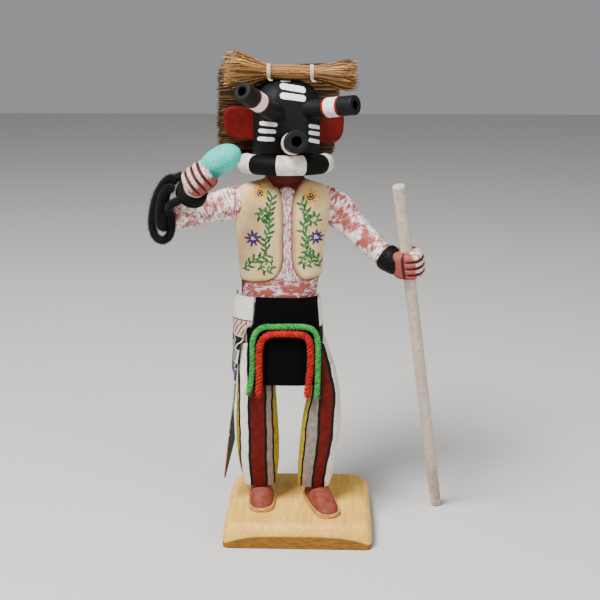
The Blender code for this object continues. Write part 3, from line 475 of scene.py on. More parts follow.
def soft_tube(path, radius, around, material, seed, rough=0.06, side=(0.0, 1.0, 0.0)):
    """A soft round yarn: its radius wavers along and around it."""
    path = np.asarray(path, float)
    first, second = across(unit(np.gradient(path, axis=0)), side)
    turn = full_turn(around)
    run = np.linspace(0.0, length_of(path) * 1000.0, len(path))[:, None]
    waver = ripple(run, turn[None] * 2.0, seed, 0.9) + 0.6 * ripple(run, turn[None] * 5.0,
                                                                     seed + 1, 0.4)
    size = radius * (1.0 + rough * waver)
    size[0] *= 0.55
    size[-1] *= 0.55
    grid = (path[:, None] + size[..., None] * (np.cos(turn)[None, :, None] * first[:, None]
                                               + np.sin(turn)[None, :, None] * second[:, None]))
    # Painted shade: the wool is darker where its radius dips
    return surface(closed(grid), material, ply=np.pad(0.55 + 0.5 * waver, ((1, 1), (0, 0)),
                                                      mode="edge"))


# %% Skein of black wool
SKEIN_YARN = 0.0040
black_wool = wool("black_wool", "#020202", "#0f0f10", 0.06)
LOOP_OUTER = [(-60.7, -24.2, 187.5), (-64.4, -23.2, 188.8), (-68.8, -22.9, 185.2),
              (-72.2, -23.0, 178.8), (-74.3, -23.2, 171.2), (-74.9, -23.4, 164.2),
              (-73.5, -23.6, 158.8), (-69.8, -23.8, 156.4), (-66.2, -24.0, 158.8),
              (-64.6, -24.4, 164.2), (-64.6, -25.8, 169.6), (-65.0, -29.4, 173.8),
              (-63.4, -32.4, 176.6), (-60.0, -31.0, 178.3), (-57.6, -29.0, 180.2)]
LOOP_INNER = [(-61.6, -29.8, 184.0), (-64.8, -30.6, 184.8), (-67.8, -30.4, 181.0),
              (-69.6, -29.8, 174.6), (-70.2, -28.8, 168.6), (-69.8, -25.8, 164.4),
              (-68.6, -22.4, 163.0), (-67.7, -20.2, 165.4), (-67.7, -19.9, 170.0),
              (-68.4, -19.2, 175.0), (-67.8, -17.8, 180.2), (-65.2, -16.6, 185.2),
              (-61.4, -17.6, 188.6), (-57.4, -19.6, 189.2)]
for name, route, seed in (("yarn_loop_outer", LOOP_OUTER, 3), ("yarn_loop_inner", LOOP_INNER, 5)):
    path = curve_through(metres(route), 110)
    ending = name.removeprefix("yarn_loop_")
    loose = fuzz(path, SKEIN_YARN / 2, 4500, 0.0021, black_wool, 0.045)
    hairs = piece("skein_hairs_" + ending, [loose], [])
    loop = piece("skein_" + ending, [soft_tube(path, SKEIN_YARN / 2, 30, black_wool, seed)],
                 [name])

# %% [markdown]
# ## Wooden base
#
# A sawn block of pale softwood, its top edges carved round and lower towards the
# corners. The grain runs from front to back, so the top shows long streaks and the
# front end grain. Its surface is a rounded rectangle carried up a profile: wall,
# round edge, then flat top.

# %% Base
BASE_WIDTH, BASE_DEPTH, BASE_THICKNESS = 82.5, 67.0, 14.0
BASE_CORNER_RADIUS, BASE_TOP_ROUND, BASE_TOP_INSET = 3.5, 6.2, 4.8
BASE_FOOT_EDGE, BASE_BACK_DEEPER, BASE_BACK_RADIUS = 0.4, 5.0, 9.0
BASE_CORNER_FALL = 5.8


def block_wood():
    """Long streaks on the top, and darker, closer grain on the sawn walls, darkened further as
    painted shade.
    """
    made, tree, shader = start_material("base_wood", 0.5, 0.22)
    along = place_of(tree, (1.0, 0.06, 1.0), (0.0, 0.0, 0.10))
    streak = noise(tree, along, 0.55, 5.0, 0.6, 0.6)
    fibre = noise(tree, place_of(tree, (1.0, 0.03, 1.0), (0.0, 0.0, 0.10)), 3.5, 4.0, 0.65)
    broad = noise(tree, place_of(tree), 0.045, 2.0)
    shade = mottled(tree, streak, "#e2ab48", "#f8cd66", 0.32, 0.70)
    shade = mix(tree, between(tree, fibre, 0.42, 0.75, 0.0, 0.40), shade, "#b07a2e")
    shade = mix(tree, between(tree, broad, 0.40, 0.70, 0.0, 0.35), shade, "#c58c38")
    sawn = noise(tree, place_of(tree, (0.22, 1.0, 1.5)), 0.9, 6.0, 0.7, 0.4)
    wall = mottled(tree, sawn, "#6a430f", "#936422", 0.34, 0.66)
    # Painted shade and end grain: the walls take much darker colours than the top
    shade = mix(tree, between(tree, mark(tree, "wall"), -0.9, 0.9), shade, wall)
    finish(tree, shader, shade, math_node(tree, "ADD", fibre, sawn), 0.05)
    return made


def rounded_plan(half, front, back, near, far):
    """A rounded rectangle: quarter circles at its corners and straight runs between."""
    bend = np.linspace(0.0, math.pi / 2, 22)
    corners = []
    for middle_x, middle_y, radius, start in ((half - near, front + near, near, -0.5),
                                              (half - far, back - far, far, 0.0),
                                              (far - half, back - far, far, 0.5),
                                              (near - half, front + near, near, 1.0)):
        way = bend + start * math.pi
        corners.append(np.stack([middle_x + radius * np.cos(way),
                                 middle_y + radius * np.sin(way)], 1))
    runs = []
    for corner, following in zip(corners, corners[1:] + corners[:1]):
        share = np.linspace(0.0, 1.0, 42)[1:-1, None]
        runs += [corner, corner[-1] + (following[0] - corner[-1]) * share]
    return np.vstack(runs)


def base_ring(inset, rise):
    """One ring: height = thickness - (round + fall (u v)^4) (1 - rise), corners at |u| = |v| = 1."""
    plan = rounded_plan(BASE_WIDTH / 2 - inset, inset - BASE_DEPTH / 2,
                        BASE_DEPTH / 2 + BASE_BACK_DEEPER - inset,
                        BASE_CORNER_RADIUS + 0.4 * inset, BASE_BACK_RADIUS + 0.4 * inset)
    u = plan[:, 0] / (BASE_WIDTH / 2 - inset)
    v = (plan[:, 1] - BASE_BACK_DEEPER / 2) / ((BASE_DEPTH + BASE_BACK_DEEPER) / 2 - inset)
    drop = BASE_TOP_ROUND + BASE_CORNER_FALL * (u * v) ** 4
    return np.column_stack([plan, BASE_THICKNESS - drop * (1.0 - rise)])


def base_piece():
    """Rings from the middle of the foot over the walls to the middle of the top."""
    foot = base_ring(BASE_FOOT_EDGE * 0.6, 1.0) * (1.0, 1.0, 0.0)
    low = base_ring(0.0, 1.0) * (1.0, 1.0, BASE_FOOT_EDGE / BASE_THICKNESS)
    wall_top = base_ring(0.0, 0.0)
    shares = np.linspace(0.05, 0.97, 14)
    walls = [low + (wall_top - low) * share for share in shares]
    bends = np.linspace(0.12, math.pi / 2, 18)
    round_rings = [base_ring(BASE_TOP_INSET * (1.0 - math.cos(b)), math.sin(b)) for b in bends]
    top = [round_rings[-1] * (share, share, 1.0) for share in np.linspace(0.95, 0.001, 40)]
    under = [foot * (share, share, 1.0) for share in np.linspace(0.001, 0.99, 8)]
    rings = under + [foot, low] + walls + round_rings + top
    # Distance below the wall's top edge: the walls are darker than the top, partly end grain and
    # partly painted shade
    edge = [4.0] * (len(under) + 2) + [(1.0 - share) * 8.0 for share in shares]
    edge += [OUTSIDE * math.sin(b) for b in bends] + [OUTSIDE] * len(top)
    grid = np.array(rings)
    lifted = ease(grid[..., 2], 9.0, 13.0)
    grid[..., 2] += 0.12 * lifted * ripple(grid[..., 0], grid[..., 1], 11, 9.0)
    block = surface(grid * UNIT, block_wood(), wall=np.array(edge)[:, None])
    return piece("wood_base", [block], ["base"])


base_piece()

# %% [markdown]
# ## Body
#
# The torso, vest, trousers and moccasins are carved from one stick of cottonwood.
# The vest stands proud of the chest by under a millimetre with a soft edge. Its
# painted flowers and vines are built from three strokes: a line, a leaf and a ring.

# %% Strokes of the brush
BODY_YAW = math.radians(-4.0)
VEST_RELIEF = 0.8
TORSO = [(116.0, -30.0, 8.8, -11.6, 10.8), (122.0, -30.9, 9.6, -12.8, 11.4),
         (129.0, -31.0, 10.4, -13.0, 11.6), (137.0, -31.2, 12.0, -13.2, 11.8),
         (147.0, -31.9, 12.6, -13.4, 12.0), (157.0, -33.1, 14.0, -13.3, 12.2),
         (167.0, -33.8, 16.3, -12.8, 12.0), (174.0, -33.2, 17.0, -11.8, 11.6),
         (179.0, -31.8, 15.8, -10.4, 10.8), (181.8, -29.8, 14.0, -8.8, 9.8),
         (183.2, -26.0, 10.4, -7.7, 9.4), (184.4, -18.4, 3.4, -7.6, 10.2),
         (188.5, -17.4, 2.8, -7.6, 11.8), (197.0, -16.9, 2.5, -7.2, 12.2)]
NECK_TOP = 197.9
VEST_BOTTOM = 132.4
OPENING_CENTRE = -5.5
OPENING = [(129.4, 13.0), (132.7, 11.6), (134.0, 7.4), (136.0, 5.2), (139.9, 3.6),
           (144.4, 2.7), (170.0, 2.6), (176.5, 3.2), (181.5, 5.0), (186.0, 8.4)]


def line_mark(x, z, spots, half):
    """Distance inside a painted line through the spots: half - distance to it."""
    best = np.full(x.shape, OUTSIDE)
    spots = np.asarray(spots, float)
    for (ax, az), (bx, bz) in zip(spots[:-1], spots[1:]):
        dx, dz = bx - ax, bz - az
        t = np.clip(((x - ax) * dx + (z - az) * dz) / (dx * dx + dz * dz), 0.0, 1.0)
        best = np.maximum(best, half - np.hypot(x - ax - t * dx, z - az - t * dz))
    return best


def leaf_mark(x, z, root, tip, half):
    """Distance inside a leaf or petal: its half width is half sin(pi t)^0.7."""
    dx, dz = tip[0] - root[0], tip[1] - root[1]
    size = math.hypot(dx, dz)
    t = ((x - root[0]) * dx + (z - root[1]) * dz) / size ** 2
    off = np.abs((x - root[0]) * dz - (z - root[1]) * dx) / size
    wide = half * np.sin(math.pi * np.clip(t, 0.0, 1.0)) ** 0.7
    over = np.maximum(np.maximum(-t, t - 1.0), 0.0) * size
    return wide - np.hypot(off, over)


def spot_mark(x, z, centre, radius):
    """Distance inside a round dab."""
    return radius - np.hypot(x - centre[0], z - centre[1])


def on_ring(centre, reach, way, tall=1.0):
    """The place at an angle on a ring round centre; tall stretches it upwards."""
    return np.array([centre[0] + reach * math.cos(way), centre[1] + reach * tall * math.sin(way)])


def ring_mark(x, z, centre, radius, half):
    """Distance inside a painted ring."""
    return half - np.abs(np.hypot(x - centre[0], z - centre[1]) - radius)


def blossom(x, z, centre, reach, petals, start, half, tall=1.0):
    """Petals round a centre, as leaf strokes; every second one is a little shorter."""
    best = np.full(x.shape, OUTSIDE)
    for number in range(petals):
        way = start + 2.0 * math.pi * number / petals
        size = reach * (1.0 - 0.12 * (number % 2))
        root = on_ring(centre, 0.2, way, tall)
        best = np.maximum(best, leaf_mark(x, z, root, on_ring(centre, size, way, tall), half))
    return best


def vine(x, z, spots, side):
    """A stem through the spots with leaves that spring from it, side after side."""
    best = line_mark(x, z, spots, VINE_STEM)
    spots = np.asarray(spots, float)
    runs = np.concatenate([[0.0], np.cumsum(np.linalg.norm(np.diff(spots, axis=0), axis=1))])
    for run in np.arange(0.6, runs[-1] + 0.1, LEAF_STEP):
        at, ahead, behind = [np.array([np.interp(run + off, runs, spots[:, k]) for k in (0, 1)])
                             for off in (0.0, 0.5, -0.5)]
        way = math.atan2(*(behind - ahead)[::-1]) + side * LEAF_ANGLE
        best = np.maximum(best, leaf_mark(x, z, at, on_ring(at, LEAF_LENGTH, way), LEAF_HALF))
        side = -side
    return best


# %% Flowers of the vest
YELLOW_FLOWERS = [((-19.6, 179.1), 5.3, 0.92), ((6.1, 177.6), 4.8, 0.92)]
PURPLE_FLOWERS = [((-23.3, 155.3), 5.0, 1.0, 9, 0.3), ((9.0, 156.2), 4.3, 1.05, 9, 0.1)]
VINES = [([(-13.4, 178.0), (-13.9, 174.1), (-14.9, 168.9), (-14.7, 163.6), (-14.9, 159.6),
           (-17.0, 154.9), (-16.7, 150.9), (-16.1, 146.9)], 1),
         ([(-16.1, 146.9), (-19.8, 145.1), (-23.4, 143.4), (-25.8, 140.4), (-29.1, 138.0)], -1),
         ([(1.6, 175.1), (4.2, 169.9), (4.8, 167.3), (2.9, 164.0), (2.4, 160.0), (4.2, 157.4),
           (3.5, 153.3), (4.2, 149.3), (6.2, 147.3)], -1),
         ([(6.2, 147.3), (8.2, 146.0), (10.5, 142.3), (11.0, 139.3)], 1)]
RED_STEMS = [([(-20.8, 154.0), (-19.0, 152.4), (-17.1, 150.8)], 0.26),
             ([(-17.0, 148.2), (-16.6, 146.0)], 0.22)]
VINE_STEM, LEAF_STEP, LEAF_LENGTH, LEAF_HALF = 0.38, 1.5, 4.2, 0.72
LEAF_ANGLE = math.radians(42.0)
CURL_LEAVES = 7
CURLS = [((-17.8, 167.9), 2.3, 2.6), ((-16.4, 140.6), 2.9, -0.4), ((7.7, 166.1), 1.9, 0.2),
         ((4.1, 143.7), 2.5, 2.2)]


def curl(x, z, centre, radius, start):
    """A ring of stem with leaves round its outer side, and a few inside a wide one."""
    best = ring_mark(x, z, centre, radius, 0.40)
    for number in range(CURL_LEAVES):
        way = start + 2.0 * math.pi * number / CURL_LEAVES
        root = on_ring(centre, radius, way)
        best = np.maximum(best, leaf_mark(x, z, root, on_ring(root, 3.0, way + 0.9), 0.70))
        if number % 2 == 0 and radius > 2.0:
            inner = on_ring(centre, 0.25 * radius, way + 0.9)
            best = np.maximum(best, leaf_mark(x, z, root, inner, 0.55))
    return best


def vest_marks(x, z):
    """All that is painted on the vest's front, as distances inside each colour."""
    keys = ("yellow", "purple", "green", "eye", "dots", "stem")
    marks = {key: np.full(x.shape, OUTSIDE) for key in keys}

    def lay(key, stroke):
        marks[key] = np.maximum(marks[key], stroke)

    for centre, reach, tall in YELLOW_FLOWERS:
        lay("yellow", blossom(x, z, centre, reach, 8, 0.0, 0.98, tall))
        lay("eye", spot_mark(x, z, centre, 1.7))
        for number in range(5):
            way = 1.2 + 2.0 * math.pi * number / 5.0
            lay("dots", spot_mark(x, z, on_ring(centre, 0.95, way), 0.30))
    for centre, reach, tall, petals, start in PURPLE_FLOWERS:
        lay("purple", blossom(x, z, centre, reach, petals, start, 0.72, tall))
        for number in range(7):
            dot = on_ring(centre, 0.45 * math.sqrt(number), 0.4 + 2.4 * number)
            lay("dots", spot_mark(x, z, dot, 0.36))
    for spots, side in VINES:
        lay("green", vine(x, z, spots, side))
    for centre, radius, start in CURLS:
        lay("green", curl(x, z, centre, radius, start))
    for spots, half in RED_STEMS:
        lay("stem", line_mark(x, z, spots, half))
    return marks


# %% Torso and vest
def torso_material():
    """Brick-red skin with dabs of white, a tan vest and its flowers, all in one paint; the neck, the
    vest's edges and the skin along them carry painted shade.
    """
    made, tree, shader = start_material("torso_paint", 0.6, 0.3)
    spot = place_of(tree)
    fine = noise(tree, spot, 2.4, 4.0, 0.65)
    shake = between(tree, noise(tree, spot, 1.3, 3.0), 0.2, 0.8, -0.12, 0.12)
    red = mottled(tree, fine, "#772c26", "#a4544b")
    tall = noise(tree, place_of(tree, (1.7, 1.0, 0.40)), 0.95, 4.0, 0.65, 0.9)
    wide = noise(tree, place_of(tree, (0.36, 1.0, 1.0), (0.0, 0.25, 0.0)), 0.45, 6.0, 0.72, 0.9)
    dabs = mix(tree, between(tree, mark(tree, "belly"), -1.0, 1.0), tall, wide)
    cover = between(tree, mark(tree, "dabbed"), -1.2, 1.2)
    level = math_node(tree, "ADD", dabs, between(tree, mark(tree, "belly"), -1.0, 1.0, 0.05, -0.01))
    white = math_node(tree, "MULTIPLY", between(tree, level, 0.47, 0.60), cover)
    skin = mix(tree, math_node(tree, "MULTIPLY", white, 0.93), red, "#d6ced2")
    # Painted shade: the neck under the ruff, and the top of the vest's opening, are a darker red
    neck = mottled(tree, fine, "#460b05", "#621208")
    skin = mix(tree, between(tree, mark(tree, "neck"), -0.6, 0.4), skin, neck)
    # Painted shadow: a dark red line on the skin along the vest's edges
    edge = between(tree, mark(tree, "seam"), 0.0, 0.7)
    skin = mix(tree, math_node(tree, "MULTIPLY", edge, 0.85), skin, "#5b1c16")
    tan = mix(tree, between(tree, noise(tree, spot, 0.10, 3.0), 0.35, 0.65), "#cdab76", "#dcc091")
    tan = mix(tree, between(tree, noise(tree, spot, 0.5, 5.0, 0.7), 0.45, 0.75, 0.0, 0.35), tan,
              "#b08850")
    # Painted shade: the tan darkens towards the vest's rounded edges
    rim = between(tree, mark(tree, "vest"), 0.2, 2.6, 1.0, 0.0)
    tan = mix(tree, math_node(tree, "MULTIPLY", rim, 0.7), tan, "#96683a")
    for key, first, second in (("yellow", "#cf8206", "#f0b524"), ("purple", "#2a1146", "#512a70"),
                               ("green", "#0c4016", "#3a7e46"), ("stem", "#7c1a12", "#992618"),
                               ("eye", "#10100f", "#1c1b1a"), ("dots", "#e8e4e2", "#d8cfd8")):
        reach = math_node(tree, "ADD", mark(tree, key), shake)
        stroke = mix(tree, between(tree, noise(tree, spot, 0.8, 2.0), 0.38, 0.62), first, second)
        tan = mix(tree, between(tree, reach, -0.10, 0.12), tan, stroke)
    reach = math_node(tree, "ADD", mark(tree, "vest"), shake)
    tree.links.new(mix(tree, between(tree, reach, -0.08, 0.08), skin, tan),
                   shader.inputs["Base Color"])
    height = math_node(tree, "ADD", math_node(tree, "MULTIPLY", white, 0.5), fine)
    bump(tree, shader, height, 0.07)
    return made


def half_opening(z):
    """Half the width of the vest's front opening, softened from the listed heights."""
    return columns_at(OPENING, z, 0.9)[0]


def torso_piece():
    """Rings from hips to neck; the vest's relief is the distance inside its edge, eased."""
    front = np.linspace(math.pi, 2.0 * math.pi, 230, endpoint=False)
    back = np.linspace(0.0, math.pi, 90, endpoint=False)
    turn = np.concatenate([back, front])
    heights = np.concatenate([np.arange(114.0, 181.0, 0.32), np.arange(181.0, 185.0, 0.12),
                              np.arange(185.0, NECK_TOP + 0.6, 0.6)])
    plain = plan_rows(TORSO, heights, turn, 2.5, BODY_YAW, 0.9)
    x, z = plain[..., 0], plain[..., 2]
    ahead = np.sin(turn)[None] < -0.05
    beyond = np.abs(x - OPENING_CENTRE) - half_opening(z)
    vest = np.where(ahead, beyond, 9.0)
    vest = np.minimum(vest, z - VEST_BOTTOM - 0.055 * (x + 12.0) + 0.2 * np.sin(x * 0.45))
    ring = np.hypot(x + 7.2, plain[..., 1] - 1.5)
    vest = np.minimum(vest, np.where(z > 181.0, ring - 10.8, 9.0))
    round_edge = np.sqrt(np.clip(1.0 - (1.0 - np.clip(vest / 1.3, 0.0, 1.0)) ** 2, 0.0, 1.0))
    grow = VEST_RELIEF * round_edge
    cut = -0.25 * np.exp(-((vest + 0.35) / 0.35) ** 2)
    swell = 0.22 * ripple(x, z, 21, 7.0)
    grid = plan_rows(TORSO, heights, turn, 2.5, BODY_YAW, 0.9, grow + cut + swell)
    marks = {key: np.where(ahead, value, OUTSIDE) for key, value in vest_marks(x, z).items()}
    marks["vest"] = vest
    # Painted shadow along the vest's edges, below the neck
    marks["seam"] = np.where((vest < 0.6) & (z < 183.5), 0.85 - np.abs(vest + 0.15), OUTSIDE)
    # Painted shade under the ruff: the darker neck reaches down into the vest's opening
    marks["neck"] = np.where(ahead, z - 182.4 + 0.10 * (x + 6.0) ** 2, z - 181.0)
    marks["belly"] = 134.5 - z
    marks["dabbed"] = np.minimum(2.4, 181.8 - z)
    return piece("torso_and_vest", [closed_part(grid, torso_material(), **marks)], ["body"])


torso_piece()

# %% [markdown]
# ## Trousers
#
# In front each leg is painted with long stripes of red, grey, white and yellow
# between black lines. A line has its place across at a few heights and runs straight
# between them. Behind, red stripes of one width are counted round the leg.

# %% Legs
HIPS = [(91.0, -32.6, 15.0, -12.8, 13.0), (101.0, -34.0, 13.8, -13.6, 13.6),
        (111.0, -34.2, 13.2, -13.5, 13.2), (119.0, -33.6, 12.4, -13.4, 12.6),
        (121.6, -32.6, 11.4, -13.0, 12.0)]
LEG_RIGHT = [(10.8, -31.6, -13.4, -6.6, 9.1), (15.0, -32.4, -12.5, -7.8, 10.4),
             (24.0, -34.2, -11.5, -9.8, 12.0), (36.0, -35.3, -11.3, -11.6, 13.2),
             (50.0, -35.3, -12.0, -12.6, 13.4), (66.0, -34.5, -13.0, -13.0, 13.2),
             (80.0, -33.8, -12.8, -12.9, 13.0), (97.0, -33.4, -8.0, -12.6, 12.6)]
LEG_LEFT = [(10.8, -0.4, 17.6, -7.8, 7.4), (15.0, -0.6, 18.8, -9.4, 9.0),
            (24.0, -0.5, 20.4, -11.2, 11.0), (36.0, 0.4, 22.2, -12.4, 12.6),
            (50.0, 2.0, 23.9, -13.0, 13.2), (66.0, 5.2, 23.0, -13.2, 13.2),
            (80.0, 5.6, 20.4, -12.9, 13.0), (97.0, -3.0, 14.6, -12.4, 12.4)]
# Black lines across each leg: height, then the middle of each line; half widths below
RIGHT_LINES = [(10.0, -32.0, -26.5, -18.3, -13.9), (24.0, -32.65, -27.05, -18.1, -13.85),
               (64.0, -32.65, -27.05, -18.1, -14.5), (122.0, -32.65, -27.05, -18.1, -14.5)]
LEFT_LINES = [(10.0, 1.1, 7.7, 13.6), (18.0, 1.8, 8.35, 14.35), (29.0, 2.75, 9.85, 16.2),
              (41.0, 3.75, 10.8, 18.15), (46.0, 4.05, 11.45, 18.8), (59.0, 6.1, 11.8, 19.5),
              (68.0, 7.9, 12.0, 19.85), (77.0, 8.6, 12.2, 18.45), (85.0, 8.9, 12.2, 16.7),
              (94.0, 9.2, 12.4, 13.8), (97.0, 9.3, 12.5, 12.7), (122.0, 9.3, 12.6, 12.7)]
RIGHT_HALVES, LEFT_HALVES = (0.55, 0.85, 0.70, 0.45), (0.50, 0.75, 0.80)
CROTCH_X, STRIPES_TOP, TAB_X, TAB_LOW = -8.0, 106.0, 10.0, 106.4
BACK_STRIPE, BACK_STRIPES_TOP = 13.0, 91.3
LINE_HALF = 0.45
ROUND_BACK, ROUND_FRONT = 70, 170


def trouser_material():
    """Cream ground with stripes of four colours and black lines."""
    return painted("trouser_paint", ("#cdc4b6", "#e6dfd3"),
                   [("grey", "#70655a", "#877c70"), ("red", "#4b0502", "#610c05"),
                    ("yellow", "#8a7610", "#ad9524"), ("line", "#060505", "#100e0d"),
                    ("plain", "#dcd7cd", "#ece8e0")],
                   0.6, 0.14, 0.05, 0.10, 0.12)


def trouser_marks(x, z, turn, arc, seed):
    """Stripes in front as distances from lines that lean with height; broad ones behind.

    arc is the way round the back in millimetres, stretched to a whole number of stripes."""
    ahead = np.sin(turn)[None] < 0.15
    x = x + 0.14 * np.sin(z * 0.23 + seed) + 0.10 * np.sin(z * 0.61 + 2 * seed)
    right, left = look_up(RIGHT_LINES, z), look_up(LEFT_LINES, z)
    on_right = x < CROTCH_X

    def line_between(lines, halves):
        return np.max([half - np.abs(x - at) for at, half in zip(lines, halves)], axis=0)

    def stripe(low, high):
        return np.minimum(x - low, high - x)

    sliver = np.minimum(np.minimum(z - 84.0, 100.0 - z),
                        x - np.interp(z, (84.0, 100.0), (18.2, 13.9)))
    sliver = np.where(np.sin(turn)[None] < -0.35, sliver, OUTSIDE)
    tab = np.hypot(np.maximum(TAB_X + 2.2 - x, 0.0), np.maximum(TAB_LOW + 2.2 - z, 0.0))
    line = np.where(on_right, line_between(right, RIGHT_HALVES), line_between(left, LEFT_HALVES))
    front = {"line": np.maximum(line, np.where(x > 4.0, LINE_HALF - np.abs(2.7 - tab), OUTSIDE)),
             "red": np.where(on_right, stripe(right[1], right[2]), stripe(left[1], left[2])),
             "grey": np.where(on_right, stripe(right[2], right[3]), stripe(left[0], left[1])),
             "yellow": np.where(on_right, np.maximum(right[0] - x, x - right[3]),
                                np.maximum(left[0] - x, sliver)),
             "plain": np.maximum(np.where(on_right, z - STRIPES_TOP, OUTSIDE), 2.2 - tab)}
    band = np.abs(np.mod(arc, BACK_STRIPE) - BACK_STRIPE / 2)
    yoke = z - BACK_STRIPES_TOP
    edges = LINE_HALF - np.minimum(np.abs(z - STRIPES_TOP), np.abs(yoke))
    stripe_edges = np.minimum(0.6 - np.abs(band - 3.2), -yoke)
    behind = {"red": np.minimum(3.2 - band, -yoke), "line": np.maximum(stripe_edges, edges),
              "plain": np.minimum(yoke, 9.0)}
    return {key: np.where(ahead, front[key], behind.get(key, OUTSIDE)) for key in front}


def leg_part(table, power, yaw, material, seed, soften):
    """One closed tube of rings, its painted lines pressed in a little."""
    turn = np.concatenate([np.linspace(0.0, math.pi, ROUND_BACK, endpoint=False),
                           np.linspace(math.pi, 2.0 * math.pi, ROUND_FRONT, endpoint=False)])
    heights = np.arange(table[0][0], table[-1][0] + 0.2, 0.5)
    plain = plan_rows(table, heights, turn, power, yaw, soften)
    x, z = plain[..., 0], plain[..., 2]
    steps = np.linalg.norm(np.diff(plain[..., :2], axis=1), axis=-1)
    arc = np.pad(np.cumsum(steps, axis=1), ((0, 0), (1, 0)))
    back_run = arc[:, ROUND_BACK, None]
    stripes = round(float(back_run.mean()) / BACK_STRIPE)
    arc = arc * (BACK_STRIPE * stripes) / back_run
    marks = trouser_marks(x, z, turn, arc, seed)
    dent = -0.10 * np.clip(marks["line"] / 0.4, 0.0, 1.0) * (marks["plain"] < 0.0)
    grid = plan_rows(table, heights, turn, power, yaw, soften,
                     dent + 0.14 * ripple(x, z, seed + 30, 8.0))
    return closed_part(grid, material, **marks)


def trousers_piece():
    """Two legs and the hips, which the vest and the felt partly hide."""
    cloth = trouser_material()
    parts = [leg_part(LEG_RIGHT, 2.7, 0.0, cloth, 1, 1.6),
             leg_part(LEG_LEFT, 2.7, 0.0, cloth, 2, 1.6),
             leg_part(HIPS, 2.6, BODY_YAW, cloth, 3, 0.8)]
    return piece("trousers", parts, [])


trousers_piece()

# %% [markdown]
# ## Moccasins
#
# Each shoe is a flat cream sole with a narrow welt round a brick-red upper. A
# cross-section is half a rounded arch, and it shrinks and drops towards the toe.

# %% Feet
SOLE_THICKNESS, SOLE_WELT = 2.1, 0.8
FEET = [((-22.0, 9.0), (-20.6, -17.2), 13.4, 11.4), ((7.6, 9.5), (18.6, -23.4), 13.6, 11.8)]
FOOT_SHAPE = [(0.0, 0.40), (0.03, 0.70), (0.08, 0.84), (0.16, 0.94), (0.36, 1.0), (0.60, 1.0),
              (0.78, 0.95), (0.88, 0.83), (0.94, 0.68), (0.975, 0.48), (1.0, 0.16)]
FOOT_TALL = [(0.0, 1.0), (0.30, 1.0), (0.46, 0.98), (0.60, 0.84), (0.76, 0.62), (0.90, 0.45),
             (0.97, 0.33), (1.0, 0.24)]


def shoe_parts(heel, toe, width, rise, upper_paint, sole_paint):
    """A flat sole and a rounded upper, both rings across the line from heel to toe."""
    heel, toe = np.array(heel), np.array(toe)
    length = np.linalg.norm(toe - heel)
    along = (toe - heel) / length
    aside = np.array([-along[1], along[0]])
    share = np.sin(np.linspace(-math.pi / 2, math.pi / 2, 90)) * 0.5 + 0.5
    half = smoothed(look_up(FOOT_SHAPE, share)[0], 3)
    tall = smoothed(rise * look_up(FOOT_TALL, share)[0], 4)[:, None]
    turn = full_turn(72)
    c, s = np.cos(turn)[None], np.sin(turn)[None]
    parts = []
    for paint, welt in ((sole_paint, SOLE_WELT), (upper_paint, 0.0)):
        centre = heel + np.outer((length + 2 * welt) * share - welt, along)
        side = (half * width / 2 + welt)[:, None]
        if welt:
            side = side * np.clip(1.2 * c, -1, 1)
            up = 0.05 + (SOLE_THICKNESS - 0.05) * np.clip(0.5 + 1.1 * s, 0.0, 1.0)
        else:
            side = side * c
            up = 0.3 + (tall - 0.3) * np.clip(s, 0.0, 1.0) ** 0.7
        grid = np.stack([centre[:, :1] + side * aside[0], centre[:, 1:] + side * aside[1],
                         np.broadcast_to(up, side.shape)], axis=-1)
        parts.append(closed_part(grid, paint))
    return parts


def feet_piece():
    """Both shoes in one mesh."""
    upper = painted("moccasin_paint", ("#6f2e22", "#874638"), [], 0.62, 0.16, 0.05)
    sole = painted("sole_paint", ("#ab793d", "#ca9f69"), [], 0.6, 0.18, 0.05)
    parts = []
    for heel, toe, width, rise in FEET:
        parts += shoe_parts(heel, toe, width, rise, upper, sole)
    return piece("moccasins", parts, [])


feet_piece()

# %% [markdown]
# ## Mask, ears and ruff
#
# The mask is a case with a domed top and a flat facet in front, matte black with
# white bars. It leans back a little and looks past the viewer's right. Places on it
# are given in its own frame: right, front and up, in millimetres.

# %% Mask
MASK_RADIUS, MASK_HEIGHT, MASK_DOME, MASK_FACET_DEPTH = 17.9, 39.1, 13.0, 2.0
MASK_YAW, HEAD_TILT = math.radians(12.0), math.radians(3.0)
HEAD_PLACE = (-7.0, 2.5)
lean = np.array([0.0, math.sin(HEAD_TILT), math.cos(HEAD_TILT)])
head_foot = np.array([*HEAD_PLACE, NECK_TOP]) + lean * 0.3
face_way = np.array([math.sin(MASK_YAW), -math.cos(MASK_YAW), 0.0])
face_way = unit(face_way - np.dot(face_way, lean) * lean)
side_way = np.cross(lean, face_way)


def head_points(right, front, up):
    """Places in the mask's frame, in millimetres; each argument may be an array."""
    right, front, up = np.broadcast_arrays(right, front, up)
    return (head_foot + right[..., None] * side_way + front[..., None] * face_way
            + up[..., None] * lean)


# White bars: the right and up of both ends, then half the width
BROW_BARS = [((-3.4, 35.1), (6.7, 33.3), 1.55), ((-3.8, 30.4), (6.3, 29.0), 1.6),
             ((-3.7, 37.7), (0.9, 37.6), 0.35)]
CHEEK_BARS = [((-14.2, 16.5), (-8.0, 15.9), 1.08), ((-14.7, 12.7), (-8.7, 12.4), 1.08),
              ((-15.1, 8.6), (-9.3, 8.5), 1.08), ((10.4, 15.1), (16.6, 14.0), 0.98),
              ((10.4, 11.7), (16.6, 10.6), 0.98), ((10.4, 7.9), (16.6, 6.5), 0.98)]


